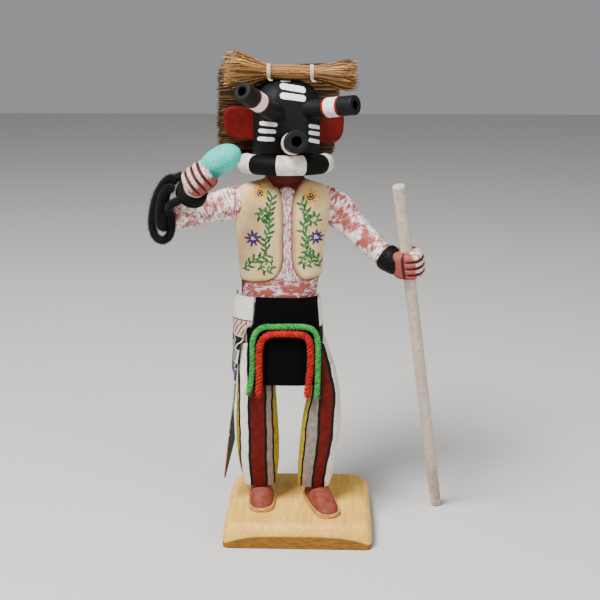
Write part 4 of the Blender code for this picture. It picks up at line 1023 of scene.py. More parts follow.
def mask_piece():
    """Rings of radius min(case, facet / cos(turn)), which shrink over the dome."""
    turn = np.linspace(-math.pi, math.pi, 300, endpoint=False)
    facet = MASK_RADIUS - MASK_FACET_DEPTH
    away = np.minimum(MASK_RADIUS, facet / np.maximum(np.cos(turn), 0.05))
    away = np.mean([np.roll(away, s) for s in range(-3, 4)], axis=0)
    wall = MASK_HEIGHT - MASK_DOME
    ups = list(np.linspace(0.0, 1.0, 5)) + list(np.linspace(1.4, wall, 90))
    scales = [0.965 + 0.035 * min(1.0, up / 0.8) for up in ups]
    for bend in np.linspace(0.03, math.pi / 2 - 0.001, 60):
        ups.append(wall + MASK_DOME * math.sin(bend) ** 0.95)
        scales.append(math.cos(bend) ** 0.90)
    up = np.array(ups)[:, None]
    scale = np.array(scales)[:, None]
    right = away * scale * np.sin(turn)
    front = away * scale * np.cos(turn)
    marks = np.max([line_mark(right, up + 0 * right, [start, end], half)
                    for start, end, half in BROW_BARS + CHEEK_BARS], axis=0)
    marks = np.where(front > 0.0, marks, OUTSIDE)
    arc = away * np.sin(turn) + 0 * up
    grid = head_points(right, front, up + 0.10 * ripple(arc, up, 41, 9.0))
    paint = painted("mask_paint", ("#0a0b0b", "#131414"), [("white", "#f0ece8", "#fbf9f6")],
                    0.58, 0.25, 0.06, 0.10, 0.14, 0.16)
    return piece("mask", [closed_part(grid, paint, white=marks)], ["head"])


mask_piece()


# %% Ruff and ears
RUFF_RADIUS, RUFF_THICKNESS = 0.0208, 0.0103
RUFF_TURN, RUFF_BAND = -3.0, 36.0


def ruff_piece():
    """A round ring whose tube touches the mask's foot from outside and just below."""
    radius, thick = RUFF_RADIUS, RUFF_THICKNESS
    reach = radius - MASK_RADIUS * UNIT
    drop = math.sqrt((thick / 2 + GAP) ** 2 - reach ** 2)
    middle = metres(head_foot) - lean * drop
    turn = full_turn(400)
    bend = full_turn(72)
    out = np.cos(turn)[:, None] * side_way - np.sin(turn)[:, None] * face_way
    across_ring = np.cos(bend)[None, :, None] * out[:, None] + np.sin(bend)[None, :, None] * lean
    size = thick / 2 * (1.0 + 0.012 * ripple(turn[:, None] * 12, bend[None] * 3, 51, 2.0))
    grid = middle + radius * out[:, None] + size[..., None] * across_ring
    # Ten bands of 36 degrees, and the one in front is white
    front = np.degrees(np.arctan2(np.cos(turn), -np.sin(turn)))
    place = np.mod(front - RUFF_TURN + RUFF_BAND / 2, 2 * RUFF_BAND)
    white = np.radians(RUFF_BAND / 2 - np.abs(place - RUFF_BAND / 2)) * radius / UNIT
    paint = painted("ruff_paint", ("#080808", "#0f0f0f"), [("white", "#c6bbad", "#ece6dd")],
                    0.60, 0.16, 0.05, 0.10, 0.14, 0.08)
    return piece("painted_ruff", [surface(grid, paint, loop_rows=True, white=white[:, None])],
                 ["ruff"])


ruff_piece()

EAR_THICKNESS, EAR_HEIGHT, EAR_REACH, EAR_LOW = 4.8, 17.6, 14.9, 7.3
LEFT_EAR_DROP, LEFT_EAR_SHORTER, EAR_SUNK = 2.0, 1.7, 4.0
EAR_SHAPE = [(0.0, 0.0), (0.40, 0.0), (0.68, 0.035), (0.87, 0.13), (0.97, 0.32), (1.0, 0.56),
             (1.0, 0.78), (0.94, 0.93), (0.80, 1.0), (0.40, 1.0), (0.0, 0.97)]
ear_paint = painted("ear_paint", ("#520301", "#680602"), [], 0.6, 0.22, 0.05)


def ear_piece(name, hand):
    """A flat ear: its outline, drawn in a little at each face so that its edge is round."""
    on_left = hand > 0
    inner = MASK_RADIUS - EAR_SUNK
    outer = MASK_RADIUS + EAR_REACH - (LEFT_EAR_SHORTER if on_left else 0.0)
    low = EAR_LOW - (LEFT_EAR_DROP if on_left else 0.0)
    outline = curve_through([(a, 0.0, b) for a, b in EAR_SHAPE], 120)[:, [0, 2]]
    bends = np.linspace(0.1, 1.5, 8)
    steps = [(-0.5, 0.999), (-0.5, 0.5), (-0.5, 0.22)]
    steps += [(-0.5 * math.cos(b), 0.13 * (1 - math.sin(b))) for b in bends]
    steps += [(0.5 * math.sin(b), 0.13 * (1 - math.cos(b))) for b in bends]
    steps += [(0.5, 0.22), (0.5, 0.5), (0.5, 0.999)]
    rows = []
    for depth, shrink in steps:
        flat = outline + (np.array([0.45, 0.5]) - outline) * shrink
        rows.append(head_points(hand * (inner + (outer - inner) * flat[:, 0]),
                                0.5 + depth * EAR_THICKNESS, low + EAR_HEIGHT * flat[:, 1]))
    return piece("painted_" + name, [surface(metres(rows), ear_paint)], [name])


ear_piece("ear_right", -1)
ear_piece("ear_left", 1)

# %% [markdown]
# ## Eye tubes and snout
#
# Three lengths of turned dowel with blind bores, black with a white band that has a
# thin red line on each side. The bands are places along the tube in millimetres.

# %% Tubes
# Name, root, direction, reach, diameter, bore, its depth, then the white band's two ends
# and the width of the red line on each side of it
TUBES = [("eye_tube_right", (-12.6, -13.2, 221.6), (-13.6, -21.5, 11.0), 28.5, 10.0, 4.6, 9.0,
          (12.2, 17.8, 1.2)),
         ("eye_tube_left", (6.1, -7.4, 222.2), (22.8, -16.2, 3.4), 28.5, 10.0, 4.6, 9.0,
          (11.7, 18.6, 1.3)),
         ("snout_tube", (-3.8, -13.4, 204.9), (4.1, -19.6, 3.6), 20.0, 11.5, 5.2, 8.0,
          (5.6, 13.0, 0.7))]
tube_paint = painted("tube_paint", ("#0b0c0d", "#151717"),
                     [("red", "#741206", "#8e1c0d"), ("white", "#e2dcd6", "#f5f2ee")],
                     0.55, 0.25, 0.06, 0.08, 0.10, 0.18)
bore_paint = painted("bore_paint", ("#050505", "#0b0b0b"), [], 0.7, 0.1, 0.03)


def tube_piece(name, root, way, reach, diameter, bore, depth, band):
    """A profile turned round the tube's axis, and a second one for the wall of its bore."""
    radius, hole = diameter / 2, bore / 2
    profile = [(-6.0, radius * 0.2), (-6.0, radius)]
    profile += [(along, radius) for along in np.linspace(-5.5, reach - 0.8, 110)]
    profile += [(reach - 0.8 + 0.8 * math.sin(b), radius - 0.8 * (1 - math.cos(b)))
                for b in np.linspace(0.2, math.pi / 2, 6)]
    profile += [(reach, r) for r in np.linspace(radius - 0.8, hole + 0.35, 5)[1:]]
    profile += [(reach - 0.12, hole + 0.1), (reach - 0.4, hole)]
    profile = np.array(profile)
    well = np.array([(reach - 0.4, hole), (reach - 2.0, hole), (reach - depth, hole),
                     (reach - depth - 0.6, hole * 0.01)])
    outer = turned(metres(root), way, profile * UNIT, 96)
    inner = turned(metres(root), way, well * UNIT, 96)
    along = profile[:, :1] + 0.18 * np.sin(full_turn(96) + 1.0)
    side = profile[:, 1:] > radius - 0.3
    white = np.where(side, np.minimum(along - band[0], band[1] - along), OUTSIDE)
    red = white + np.where(side, band[2], 0.0)
    # A surface looks outwards, so the wall of the bore is turned to look at its axis
    bore_part = surface(inner, bore_paint)
    bore_part["cells"] = bore_part["cells"][:, ::-1]
    return piece("painted_" + name, [surface(outer, tube_paint, white=white, red=red), bore_part],
                 [name])


for row in TUBES:
    tube_piece(*row)

# %% [markdown]
# ## Straw hair
#
# A bundle of dried plant fibre is tied across the crown with two strings and splays
# at its cut ends. A thick layer of the same fibre lies behind the mask. Each straw is
# a thin prism with its own tone, round a dark core of painted shade that stops the eye.


# %% Straw
def straw_material(name, deep, middle, lit):
    """Dried fibre: each straw's own tone runs from deep through middle to lit."""
    made, tree, shader = start_material(name, 0.55, 0.35)
    tone = mark(tree, "tone")
    shade = mix(tree, between(tree, tone, 0.0, 0.45), deep, middle)
    shade = mix(tree, between(tree, tone, 0.45, 1.0), shade, lit)
    spot = noise(tree, place_of(tree), 0.6, 4.0, 0.6)
    shade = mix(tree, between(tree, spot, 0.50, 0.75, 0.0, 0.45), shade, deep)
    tree.links.new(shade, shader.inputs["Base Color"])
    return made


straw = straw_material("straw", "#3a200c", "#99632b", "#f0bf74")
# Painted shade: the straw behind the mask is a darker copy of the bundle's
shaded_straw = straw_material("shaded_straw", "#1e0f05", "#62401e", "#b5854b")
# A dark core of painted shade inside each mass of straw
straw_shade_core = straw_material("straw_shade_core", "#150b04", "#241407", "#38220f")
BUNDLE_Y = -3.0
BUNDLE = [(-36.4, 242.2, 7.4), (-33.6, 242.6, 8.8), (-29.0, 242.5, 8.3), (-21.5, 241.6, 5.6),
          (-15.2, 241.0, 3.2), (-10.0, 241.0, 3.7), (-4.0, 240.9, 3.9), (2.0, 240.7, 3.7),
          (7.0, 240.5, 3.2), (12.0, 240.3, 4.4), (18.5, 239.8, 6.0), (24.8, 239.3, 7.4),
          (27.4, 239.2, 6.6)]


def straw_radii(thinnest, thickest, count, steps):
    """One radius for each straw, and half of it at both ends."""
    radii = dice.uniform(thinnest, thickest, (count, 1)) * UNIT * np.ones((1, steps))
    radii[:, [0, -1]] *= 0.5
    return radii


def bundle_piece():
    """Straws at random places in a thick-walled tube, which spread past the two strings."""
    count, steps = 2300, 13
    angle = dice.uniform(0.0, 2.0 * math.pi, count)
    depth = np.sqrt(dice.uniform(0.35, 1.0, count))
    left = dice.normal(-35.4, 1.7, count)
    right = dice.normal(26.8, 1.6, count)
    t = np.linspace(0.0, 1.0, steps)[None]
    x = left[:, None] + (right - left)[:, None] * t
    splay = np.clip(np.maximum(-15.2 - x, x - 7.0) / 20.0, 0.0, 1.3)
    z, size = look_up(BUNDLE, x)
    size = np.where(x < -33.6, 8.6, np.where(x > 24.8, 7.4, size))
    stray = dice.normal(0.0, 0.13, (count, 1))
    bend = dice.normal(0.0, 0.45, (count, 2))
    radius = size * depth[:, None] * (0.97 + (stray - 0.10) * splay)
    path = np.empty((count, steps, 3))
    path[..., 0] = x
    path[..., 1] = BUNDLE_Y + radius * np.cos(angle)[:, None] + bend[:, :1] * splay
    path[..., 2] = z + radius * np.sin(angle)[:, None] + bend[:, 1:] * splay
    radii = straw_radii(0.11, 0.21, count, steps)
    # Painted shade: straws deep inside the bundle are darker. The tied middle is darker than the
    # splayed ends.
    tone = dice.beta(0.8, 0.9, count) * (0.35 + 0.65 * ease(depth, 0.6, 0.95))
    tone = np.clip(tone + 0.22 * np.sin(angle * 9.0) * np.sin(angle * 4.0 + 1.0), 0.0, 1.0)
    tone = tone[:, None] * (0.62 + 0.38 * ease(splay, 0.0, 0.5))
    hair = strands(metres(path), radii, straw, tone=tone)
    along = np.linspace(-34.6, 26.0, 60)
    turn = full_turn(40)
    middle, size = [column[:, None] for column in look_up(BUNDLE, along)]
    grid = np.empty((60, 40, 3))
    grid[..., 0] = along[:, None]
    grid[..., 1] = BUNDLE_Y + 0.80 * size * np.cos(turn)
    grid[..., 2] = middle + 0.80 * size * np.sin(turn)
    core = surface(closed(metres(grid)), straw_shade_core, tone=0.4)
    return piece("straw_bundle", [hair, core], ["hair_bundle"])


bundle_piece()

HAIR_BACK = [(196.8, -32.6, 25.2, 1.0), (199.0, -33.6, 26.2, 0.96), (212.0, -33.8, 27.2, 1.0),
             (226.0, -33.5, 28.6, 1.0), (236.0, -33.2, 29.2, 0.96), (241.4, -32.8, 28.0, 0.80),
             (244.4, -31.4, 25.0, 0.55)]
HAIR_FRONT, HAIR_DEPTH = 4.4, 20.5


def back_plan(share, z, layer):
    """A straw's line behind the mask: share -1..1 from side to side, layer 0 front, 1 back."""
    left, right, deep = look_up(HAIR_BACK, z)
    across_it = (left + right) / 2 + (right - left) / 2 * share
    room = 3.0 + (HAIR_DEPTH - 3.0) * deep * np.clip(1.0 - np.abs(share) ** 2.9, 0.0, 1.0) ** 0.36
    behind = HAIR_FRONT + 0.4 + (room - 0.8) * layer
    x = HEAD_PLACE[0] + across_it * math.cos(MASK_YAW) - behind * math.sin(MASK_YAW)
    y = HEAD_PLACE[1] + across_it * math.sin(MASK_YAW) + behind * math.cos(MASK_YAW)
    return x, y


def back_piece():
    """Straws that run across behind the mask: most in its outer layer, some in front."""
    count, steps = 3000, 11
    height = dice.uniform(197.2, 243.8, count)
    outer = dice.uniform(0.0, 1.0, count) < 0.5
    layer = np.where(outer, dice.uniform(0.88, 1.0, count), dice.uniform(0.0, 0.16, count))
    layer = np.where(dice.uniform(0.0, 1.0, count) < 0.16, dice.uniform(0.1, 0.9, count), layer)
    t = np.linspace(-1.0, 1.0, steps)[None]
    ends = np.stack([dice.normal(1.0, 0.030, count), dice.normal(1.0, 0.030, count)], 1)
    share = np.where(t < 0, t * ends[:, :1], t * ends[:, 1:])
    droop = dice.normal(0.0, 0.5, (count, 1)) * share + dice.normal(0.0, 0.35, (count, 1)) * t ** 2
    z = height[:, None] + droop
    x, y = back_plan(share, height[:, None] + 0 * share, layer[:, None])
    path = np.stack([x, y, np.clip(z, 196.6, 245.0)], axis=-1)
    radii = straw_radii(0.12, 0.23, count, steps)
    # Painted shade: most straws behind the mask take dark tones
    tone = dice.beta(0.9, 1.6, count)
    hair = strands(metres(path), radii, shaded_straw, (0.0, 0.3, 1.0), tone=tone)
    heights = np.linspace(197.6, 243.4, 40)
    loop = np.concatenate([np.linspace(-0.96, 0.96, 50), np.linspace(0.96, -0.96, 50)])
    depth = np.concatenate([np.full(50, 0.90), np.full(50, 0.10)])
    grid = np.empty((40, 100, 3))
    x, y = back_plan(loop[None] + 0 * heights[:, None], heights[:, None] + 0 * loop[None],
                     depth[None])
    grid[..., 0], grid[..., 1], grid[..., 2] = x, y, heights[:, None]
    core = surface(closed(metres(grid)), straw_shade_core, tone=0.5)
    return piece("straw_behind_mask", [hair, core], ["hair_back"])


back_piece()


# %% Strings round the bundle
def string_piece(name, node, x):
    """Three turns of string round the bundle at x, and a short loose end."""
    middle, size = look_up(BUNDLE, x)
    cotton = bpy.data.materials.get("cotton_string") or wool("cotton_string", "#9c8a6c", "#e6dcc6",
                                                             0.1)
    turns = 3
    t = np.linspace(0.0, turns * 2.0 * math.pi, 200)
    radius = size + 0.55 + 0.05 * np.sin(t * 2.3)
    path = np.stack([x - 0.85 + 1.7 * t / t[-1], BUNDLE_Y + radius * np.cos(t),
                     middle + radius * np.sin(t)], axis=1)
    parts = [soft_tube(metres(path), 0.00038, 12, cotton, 61, 0.08, (1.0, 0.0, 0.0))]
    tail = [(x - 0.4, BUNDLE_Y - size * 0.7, middle - size * 0.8),
            (x + 0.6, BUNDLE_Y - size - 1.2, middle - size - 0.9),
            (x + 2.2, BUNDLE_Y - size - 1.6, middle - size - 1.0)]
    parts.append(soft_tube(curve_through(metres(tail), 20), 0.00034, 10, cotton, 62, 0.1,
                           (0.0, 1.0, 0.0)))
    return piece(name, parts, [node])


string_piece("string_right", "hair_tie_right", -15.2)
string_piece("string_left", "hair_tie_left", 7.0)

# %% [markdown]
# ## Arms
#
# Both arms are painted brick red and dabbed with white, heavy near the shoulder. A
# fist is a rounded block on the line of what it grips, with four fingers in relief.
# Paint on an arm follows two marks: how far along it, and how far round it.

# %% Arm paint
def arm_material():
    """Brick red with dry strokes of white along the limb, fingers in relief, and painted shade
    between and under the fingers.
    """
    made, tree, shader = start_material("arm_paint", 0.6, 0.3)
    spot = place_of(tree)
    fine = noise(tree, spot, 2.6, 4.0, 0.65)
    red = mottled(tree, fine, "#7d2b24", "#a5564c")
    flow = add(tree, "ShaderNodeCombineXYZ", links={"X": mark(tree, "run"),
                                                    "Y": mark(tree, "round")}).outputs["Vector"]
    long = add(tree, "ShaderNodeMapping", {"Scale": (0.95, 0.36, 1.0)}, {"Vector": flow})
    patch = noise(tree, long.outputs["Vector"], 0.80, 4.5, 0.66, 0.7)
    dry = add(tree, "ShaderNodeMapping", {"Scale": (2.6, 0.5, 1.0)}, {"Vector": flow})
    brush = noise(tree, dry.outputs["Vector"], 1.0, 3.0, 0.6)
    broad = noise(tree, place_of(tree), 0.16, 2.0)
    level = math_node(tree, "ADD", math_node(tree, "MULTIPLY", patch, 0.42),
                      math_node(tree, "MULTIPLY", brush, 0.22))
    level = math_node(tree, "ADD", level, math_node(tree, "MULTIPLY", broad, 0.36))
    white = math_node(tree, "MULTIPLY", between(tree, level, 0.450, 0.560),
                      between(tree, mark(tree, "dabbed"), -1.5, 1.5))
    shade = mix(tree, math_node(tree, "MULTIPLY", white, 0.96), red, "#f0e8e5")
    # Painted shade: dark red in the gaps between the fingers and at their tips
    groove = between(tree, mark(tree, "groove"), 0.0, 0.7)
    shade = mix(tree, groove, shade, "#350b06")
    ridge = math_node(tree, "MULTIPLY", between(tree, mark(tree, "ridge"), 0.30, 0.8),
                      between(tree, brush, 0.42, 0.56))
    shade = mix(tree, math_node(tree, "MULTIPLY", ridge, 0.85), shade, "#f4ebe8")
    tree.links.new(shade, shader.inputs["Base Color"])
    height = math_node(tree, "ADD", math_node(tree, "MULTIPLY", white, 0.6), fine)
    bump(tree, shader, height, 0.07)
    return made


arm_paint = arm_material()


def arm_part(path, tall, wide, side, seed, dab_from):
    """A limb: ellipses across a bent path, marked with run and round in millimetres."""
    path = np.asarray(path, float)
    knots = np.arange(len(path))
    fine = curve_through(path, 150)
    spread = np.linspace(0, len(path) - 1, 150)
    tall, wide = [smoothed(np.interp(spread, knots, size), 5) for size in (tall, wide)]
    first, second = across(unit(np.gradient(fine, axis=0)), side)
    turn = full_turn(110)
    run = np.linspace(0.0, length_of(fine), 150)[:, None] + 0 * turn
    swell = 1.0 + 0.02 * ripple(run, turn[None] * 6.0, seed, 5.0)
    grid = (fine[:, None] + (tall[:, None] * swell * np.cos(turn))[..., None] * first[:, None]
            + (wide[:, None] * swell * np.sin(turn))[..., None] * second[:, None])
    outside = np.full(run.shape, OUTSIDE)
    marks = {"run": run + seed * 17.0, "round": 6.5 * (turn[None] + 0 * run), "groove": outside,
             "ridge": outside, "dabbed": run - dab_from}
    return closed_part(grid, arm_paint, **marks)


def fist_part(middle, grip, knuckle, half_grip, half_knuckle, half_palm, tips, sweep, seed):
    """A closed hand: fingers lie round the grip from their tips through sweep, cut apart."""
    grip = unit(grip)
    first, second = across(grip, knuckle)
    share = np.sin(np.linspace(-math.pi / 2, math.pi / 2, 130))
    turn = full_turn(150)
    share, turn = np.meshgrid(share, turn, indexing="ij")
    fade = (1 - np.minimum(1.0, np.abs(share)) ** 4) ** 0.5 * 0.42 + 0.58
    past = np.mod((turn - tips) * math.copysign(1.0, sweep) + 0.5, 2.0 * math.pi) - 0.5
    inside = np.minimum(ease(past, 0.0, 0.22), 1.0 - ease(past, abs(sweep), abs(sweep) + 0.5))
    gaps = np.max([np.exp(-((share - spot) / 0.11) ** 2) for spot in (-0.5, 0.0, 0.5)], axis=0)
    tip = np.exp(-((past - 0.02) / 0.10) ** 2)
    joint = np.exp(-((past - 1.15) / 0.16) ** 2)
    swell = (1.0 - 0.05 + 0.055 * inside - 0.115 * gaps * inside - 0.035 * tip
             + 0.012 * joint * inside)
    swell = swell + 0.008 * ripple(share * 7, turn * 6, seed, 2.0)
    x = np.sign(np.cos(turn)) * np.abs(np.cos(turn)) ** 0.78 * half_knuckle * fade * swell
    y = np.sign(np.sin(turn)) * np.abs(np.sin(turn)) ** 0.78 * half_palm * fade * swell
    grid = (np.asarray(middle) + share[..., None] * half_grip * grip + x[..., None] * first
            + y[..., None] * second)
    # Painted shade in the gaps and at the tips; the white on the ridges stays off the tips, which
    # are painted as lying in shade
    groove = np.maximum(gaps * inside, tip * 0.9) * 1.9 - 0.80
    ridge = (1.0 - gaps * 1.6) * inside * (0.25 + 0.75 * ease(past, 0.45, 1.0))
    marks = {"run": share * half_grip + 5.0 * seed, "round": 7.0 * turn, "groove": groove,
             "ridge": ridge, "dabbed": np.full(turn.shape, OUTSIDE)}
    return closed_part(grid, arm_paint, **marks)


# %% Left arm and staff
ARM_LEFT = [(12.0, 1.4, 172.5), (19.6, 0.4, 169.6), (28.4, -2.8, 161.6), (37.6, -9.0, 153.6),
            (47.6, -16.0, 146.2), (53.0, -18.6, 144.6)]
LEFT_LIMB = (ARM_LEFT, [10.0, 9.2, 7.4, 6.8, 6.0, 5.6], [7.6, 7.4, 7.0, 6.7, 6.0, 5.6],
             (0.0, 0.0, 1.0))
LEFT_HAND = (57.4, -19.4, 144.5)
STAFF_WAY = unit((-0.1469, -0.2615, 0.9540))
piece("arm_and_fist_left",
      [arm_part(*LEFT_LIMB, 4, -3.0),
       fist_part(LEFT_HAND, STAFF_WAY, (1.0, -0.35, 0.0), 7.4, 8.9, 7.6, 4.65, 2.5, 2)],
      ["arm_left"])

STAFF_DIAMETER, STAFF_LENGTH = 0.00635, 0.2092
staff_paint = painted("staff_paint", ("#b9aa9a", "#cdc0b1"), [("bare", "#9c8776", "#ac9685")],
                      0.6, 0.12, 0.05, 0.5, 0.6)


def staff_piece():
    """A plain dowel through the left fist, from just above the base to its rounded top."""
    hand = metres(LEFT_HAND)
    foot_drop = STAFF_DIAMETER / 2 * math.sqrt(1 - STAFF_WAY[2] ** 2)
    foot = hand - STAFF_WAY * (hand[2] - foot_drop - GAP) / STAFF_WAY[2]
    radius = STAFF_DIAMETER / 2
    profile = [(0.0, 1e-6), (0.0, radius * 0.5), (0.0, radius - 0.0003), (0.0003, radius)]
    profile += [(along, radius) for along in np.linspace(0.001, STAFF_LENGTH - 0.001, 260)]
    profile += [(STAFF_LENGTH - 0.0003, radius), (STAFF_LENGTH, radius - 0.0003),
                (STAFF_LENGTH, radius * 0.5), (STAFF_LENGTH, 1e-6)]
    profile = np.array(profile)
    grid = turned(foot, STAFF_WAY, profile, 48, (1.0, 0.0, 0.0))
    run = profile[:, :1] * 1000.0
    turn = full_turn(48)[None]
    # Darker towards the bottom, with patches along the staff
    bare = 0.6 * ripple(run * 0.25, turn * 3, 71, 2.0) + 0.5 * ease(run, 60.0, 10.0) - 0.5
    return piece("painted_staff", [surface(grid, staff_paint, bare=bare)], ["staff"])


staff_piece()

# %% Right arm and rattle
ARM_RIGHT = [(-29.0, 1.4, 172.6), (-37.0, 0.6, 171.9), (-50.1, -2.2, 168.9), (-61.4, -5.2, 165.8),
             (-62.2, -11.4, 169.2), (-56.6, -20.6, 177.0), (-51.6, -28.2, 184.8)]
RIGHT_LIMB = (ARM_RIGHT, [10.0, 9.3, 7.0, 6.7, 6.8, 6.0, 5.4],
              [7.6, 7.4, 7.0, 7.2, 6.8, 6.0, 5.4], (0.0, 1.0, 0.9))
RIGHT_HAND, RIGHT_GRIP = (-48.4, -32.0, 189.7), unit((0.82, -0.06, 0.57))
piece("arm_and_fist_right",
      [arm_part(*RIGHT_LIMB, 5, -3.0),
       fist_part(RIGHT_HAND, RIGHT_GRIP, (-0.50, -0.55, 0.67), 7.6, 7.3, 7.6, 2.1, -3.6, 3)],
      ["arm_right"])


RATTLE_FULLEST = 0.60


def rattle_piece():
    """An egg whose radius is (1 - away^2)^0.52, and a stout neck down to the fist."""
    length, diameter = 22.8, 13.4
    share = np.sin(np.linspace(-math.pi / 2, math.pi / 2, 80)) * 0.5 + 0.5
    side = np.where(share < RATTLE_FULLEST, RATTLE_FULLEST, 1.0 - RATTLE_FULLEST)
    away = (share - RATTLE_FULLEST) / side
    radius = diameter / 2 * np.maximum(0.0, 1.0 - away ** 2) ** 0.52
    egg = np.stack([(share - 0.5) * length, np.maximum(radius, 0.01)], 1)
    middle = metres((-38.0, -33.4, 199.3))
    grid = turned(middle, (0.885, -0.06, 0.41), egg * UNIT, 90)
    neck = [(along, radius) for along, radius in
            zip(np.linspace(0.0, 11.0, 24), np.linspace(diameter * 0.44, 4.3, 24))]
    neck = turned(middle, (-0.62, 0.04, -0.78), np.array(neck) * UNIT, 70)
    turn = -np.cos(full_turn(90))[None]
    made, tree, shader = start_material("rattle_paint", 0.5, 0.2)
    fine = noise(tree, place_of(tree), 1.3, 4.0, 0.7)
    shade = mottled(tree, fine, "#17a094", "#45d2c1")
    # The second teal is painted shade, for the neck and the egg's underside
    handled = mottled(tree, fine, "#0c6058", "#1c8378")
    shade = mix(tree, mark(tree, "handled"), shade, handled)
    finish(tree, shader, shade, fine, 0.06)
    # Painted shade: the teal is darker down the neck, by the fist, and under the egg
    darkening = ease(egg[:, :1], 4.0, -9.0) * ease(turn, 0.2, 0.9)
    neck_shade = np.broadcast_to(ease(np.linspace(0.0, 11.0, 24)[:, None], 1.0, 7.0), (24, 70))
    return piece("rattle_egg", [surface(grid, made, handled=darkening),
                                surface(neck, made, handled=neck_shade)], ["rattle"])


rattle_piece()


# %% [markdown]
# ## What the wrists wear
#
# The left wrist has a cuff of thin black leather, crinkled where it was pulled
# round. The right wrist is wound with black wool, the same as the skein.

# %% Cuff and winding
def band_grid(path, tall, wide, side, start, length, swell, rows=40, around=120):
    """Rings round a limb between two places along it; swell is the height over it."""
    fine = curve_through(path, 400)
    run = np.linspace(0.0, length_of(fine), 400)
    spread = np.linspace(0, len(path) - 1, 400)
    spots = start + length * np.linspace(-0.5, 0.5, rows)
    beyond = np.maximum(spots - run[-1], 0.0)
    lean_at = unit(fine[-1] - fine[-2])
    line = np.stack([np.interp(spots, run, fine[:, k]) for k in range(3)], 1)
    line = line + beyond[:, None] * lean_at
    sizes = [np.interp(spots, run, np.interp(spread, np.arange(len(path)), size))
             for size in (tall, wide)]
    first, second = across(unit(np.gradient(line, axis=0)), side)
    turn = full_turn(around)
    return (line[:, None] + ((sizes[0][:, None] + swell) * np.cos(turn))[..., None] * first[:, None]
            + ((sizes[1][:, None] + swell) * np.sin(turn))[..., None] * second[:, None])


def cuff_piece():
    """A closed band of leather whose outside is creased and falls off at both rims."""
    made, tree, shader = start_material("black_leather", 0.5, 0.12)
    spot = place_of(tree)
    crinkle = noise(tree, spot, 0.55, 5.0, 0.6, 0.8)
    shade = mottled(tree, crinkle, "#030202", "#0c0a09", 0.35, 0.7)
    finish(tree, shader, shade, crinkle, 0.60)
    long = length_of(curve_through(ARM_LEFT, 400))
    rows = np.linspace(-1.0, 1.0, 40)[:, None]
    turn = full_turn(120)[None]
    creases = 0.16 * np.sin(rows * 7.0 + 1.6 * np.sin(turn * 2.0)) * np.abs(np.sin(turn * 1.5))
    rim = np.sqrt(np.clip(1.0 - np.abs(rows) ** 8, 0.0, 1.0))
    outer = band_grid(*LEFT_LIMB, long - 4.2, 9.4, 0.25 + 1.05 * rim + creases)
    inner = band_grid(*LEFT_LIMB, long - 4.2, 9.4, 0.05)
    ring = np.concatenate([outer, inner[::-1]])
    return piece("leather_cuff", [surface(metres(ring), made, loop_rows=True)], ["bow_guard"])


cuff_piece()


def winding_piece():
    """A band whose outside rises and falls as turns of wool do, with loose hairs on it."""
    fine = curve_through(ARM_RIGHT, 400)
    long = length_of(fine)
    rows = np.linspace(-1.0, 1.0, 48)[:, None]
    turn = full_turn(120)[None]
    coil = np.abs(np.sin((rows * 1.35 + turn / (2 * math.pi) * 0.45) * math.pi))
    rim = np.sqrt(np.clip(1.0 - np.abs(rows) ** 6, 0.0, 1.0))
    swell = 0.3 + rim * (1.2 + 1.0 * coil ** 0.5)
    outer = band_grid(*RIGHT_LIMB, long - 4.6, 6.6, swell, 48)
    inner = band_grid(*RIGHT_LIMB, long - 4.6, 6.6, 0.05, 48)
    ring = metres(np.concatenate([outer, inner[::-1]]))
    # Painted shade: darker between the turns, and on the inner face
    ply = np.concatenate([0.3 + 0.6 * coil, 0.2 + 0 * coil])
    centre = band_grid(*RIGHT_LIMB, long - 4.6, 5.2, 1.6, 3)
    hairs = [fuzz(metres(loop), 0.0008, 700, 0.0011, black_wool, side=(0.3, 0.5, 0.8))
             for loop in centre]
    return piece("wool_winding", [surface(ring, black_wool, loop_rows=True, ply=ply)] + hairs,
                 ["wrist_wrap"])


winding_piece()

# %% [markdown]
# ## Kilt, yarns and sash
#
# The kilt is real felt, glued over the front of the hips. Two twisted yarns, green
# and red, are glued on it. The sash is a thin strip of wood painted with bands.


# %% Where the felt lies
def front_of_body(x, z):
    """How far forward the body stands at each place across, at one height."""
    best = np.zeros_like(x)
    turn = np.linspace(math.pi, 2.0 * math.pi, 500)
    for table, power, yaw in ((TORSO, 2.5, BODY_YAW), (HIPS, 2.6, BODY_YAW),
                              (LEG_RIGHT, 2.7, 0.0), (LEG_LEFT, 2.7, 0.0)):
        heights = [row[0] for row in table]
        if z < heights[0] or z > heights[-1]:
            continue
        ring = plan_rows(table, np.array([z]), turn, power, yaw, 0.3)[0]
        best = np.minimum(best, np.interp(x, ring[:, 0], ring[:, 1], left=0.0, right=0.0))
    return best


KILT = [(123.6, -22.3, 9.6), (115.0, -23.0, 10.4), (108.4, -23.8, 10.9), (105.4, -26.4, 11.1),
        (96.0, -27.2, 11.5), (84.0, -27.4, 11.8), (74.6, -27.4, 11.8)]
FELT_THICKNESS = 1.1


def felt_back():
    """The felt's inner face on a grid: on the body, then straight down from there."""
    heights = np.linspace(123.6, 74.6, 110)
    share = np.linspace(0.0, 1.0, 90)
    left, right = columns_at(KILT, heights, 0.8)
    x = left[:, None] + (right - left)[:, None] * share
    y = np.empty_like(x)
    reach = np.zeros(90)
    for row, z in enumerate(heights):
        nearby = [front_of_body(x[row] + off, z) for off in (-1.4, -0.7, 0.0, 0.7, 1.4)]
        reach = np.minimum(reach, np.min(nearby, axis=0))
        y[row] = reach - 0.6
    for _ in range(6):
        y[:, 1:-1] = (y[:, :-2] + 2 * y[:, 1:-1] + y[:, 2:]) / 4
    return np.stack([x, y, heights[:, None] + 0 * x], axis=-1)


felt_inner = felt_back()


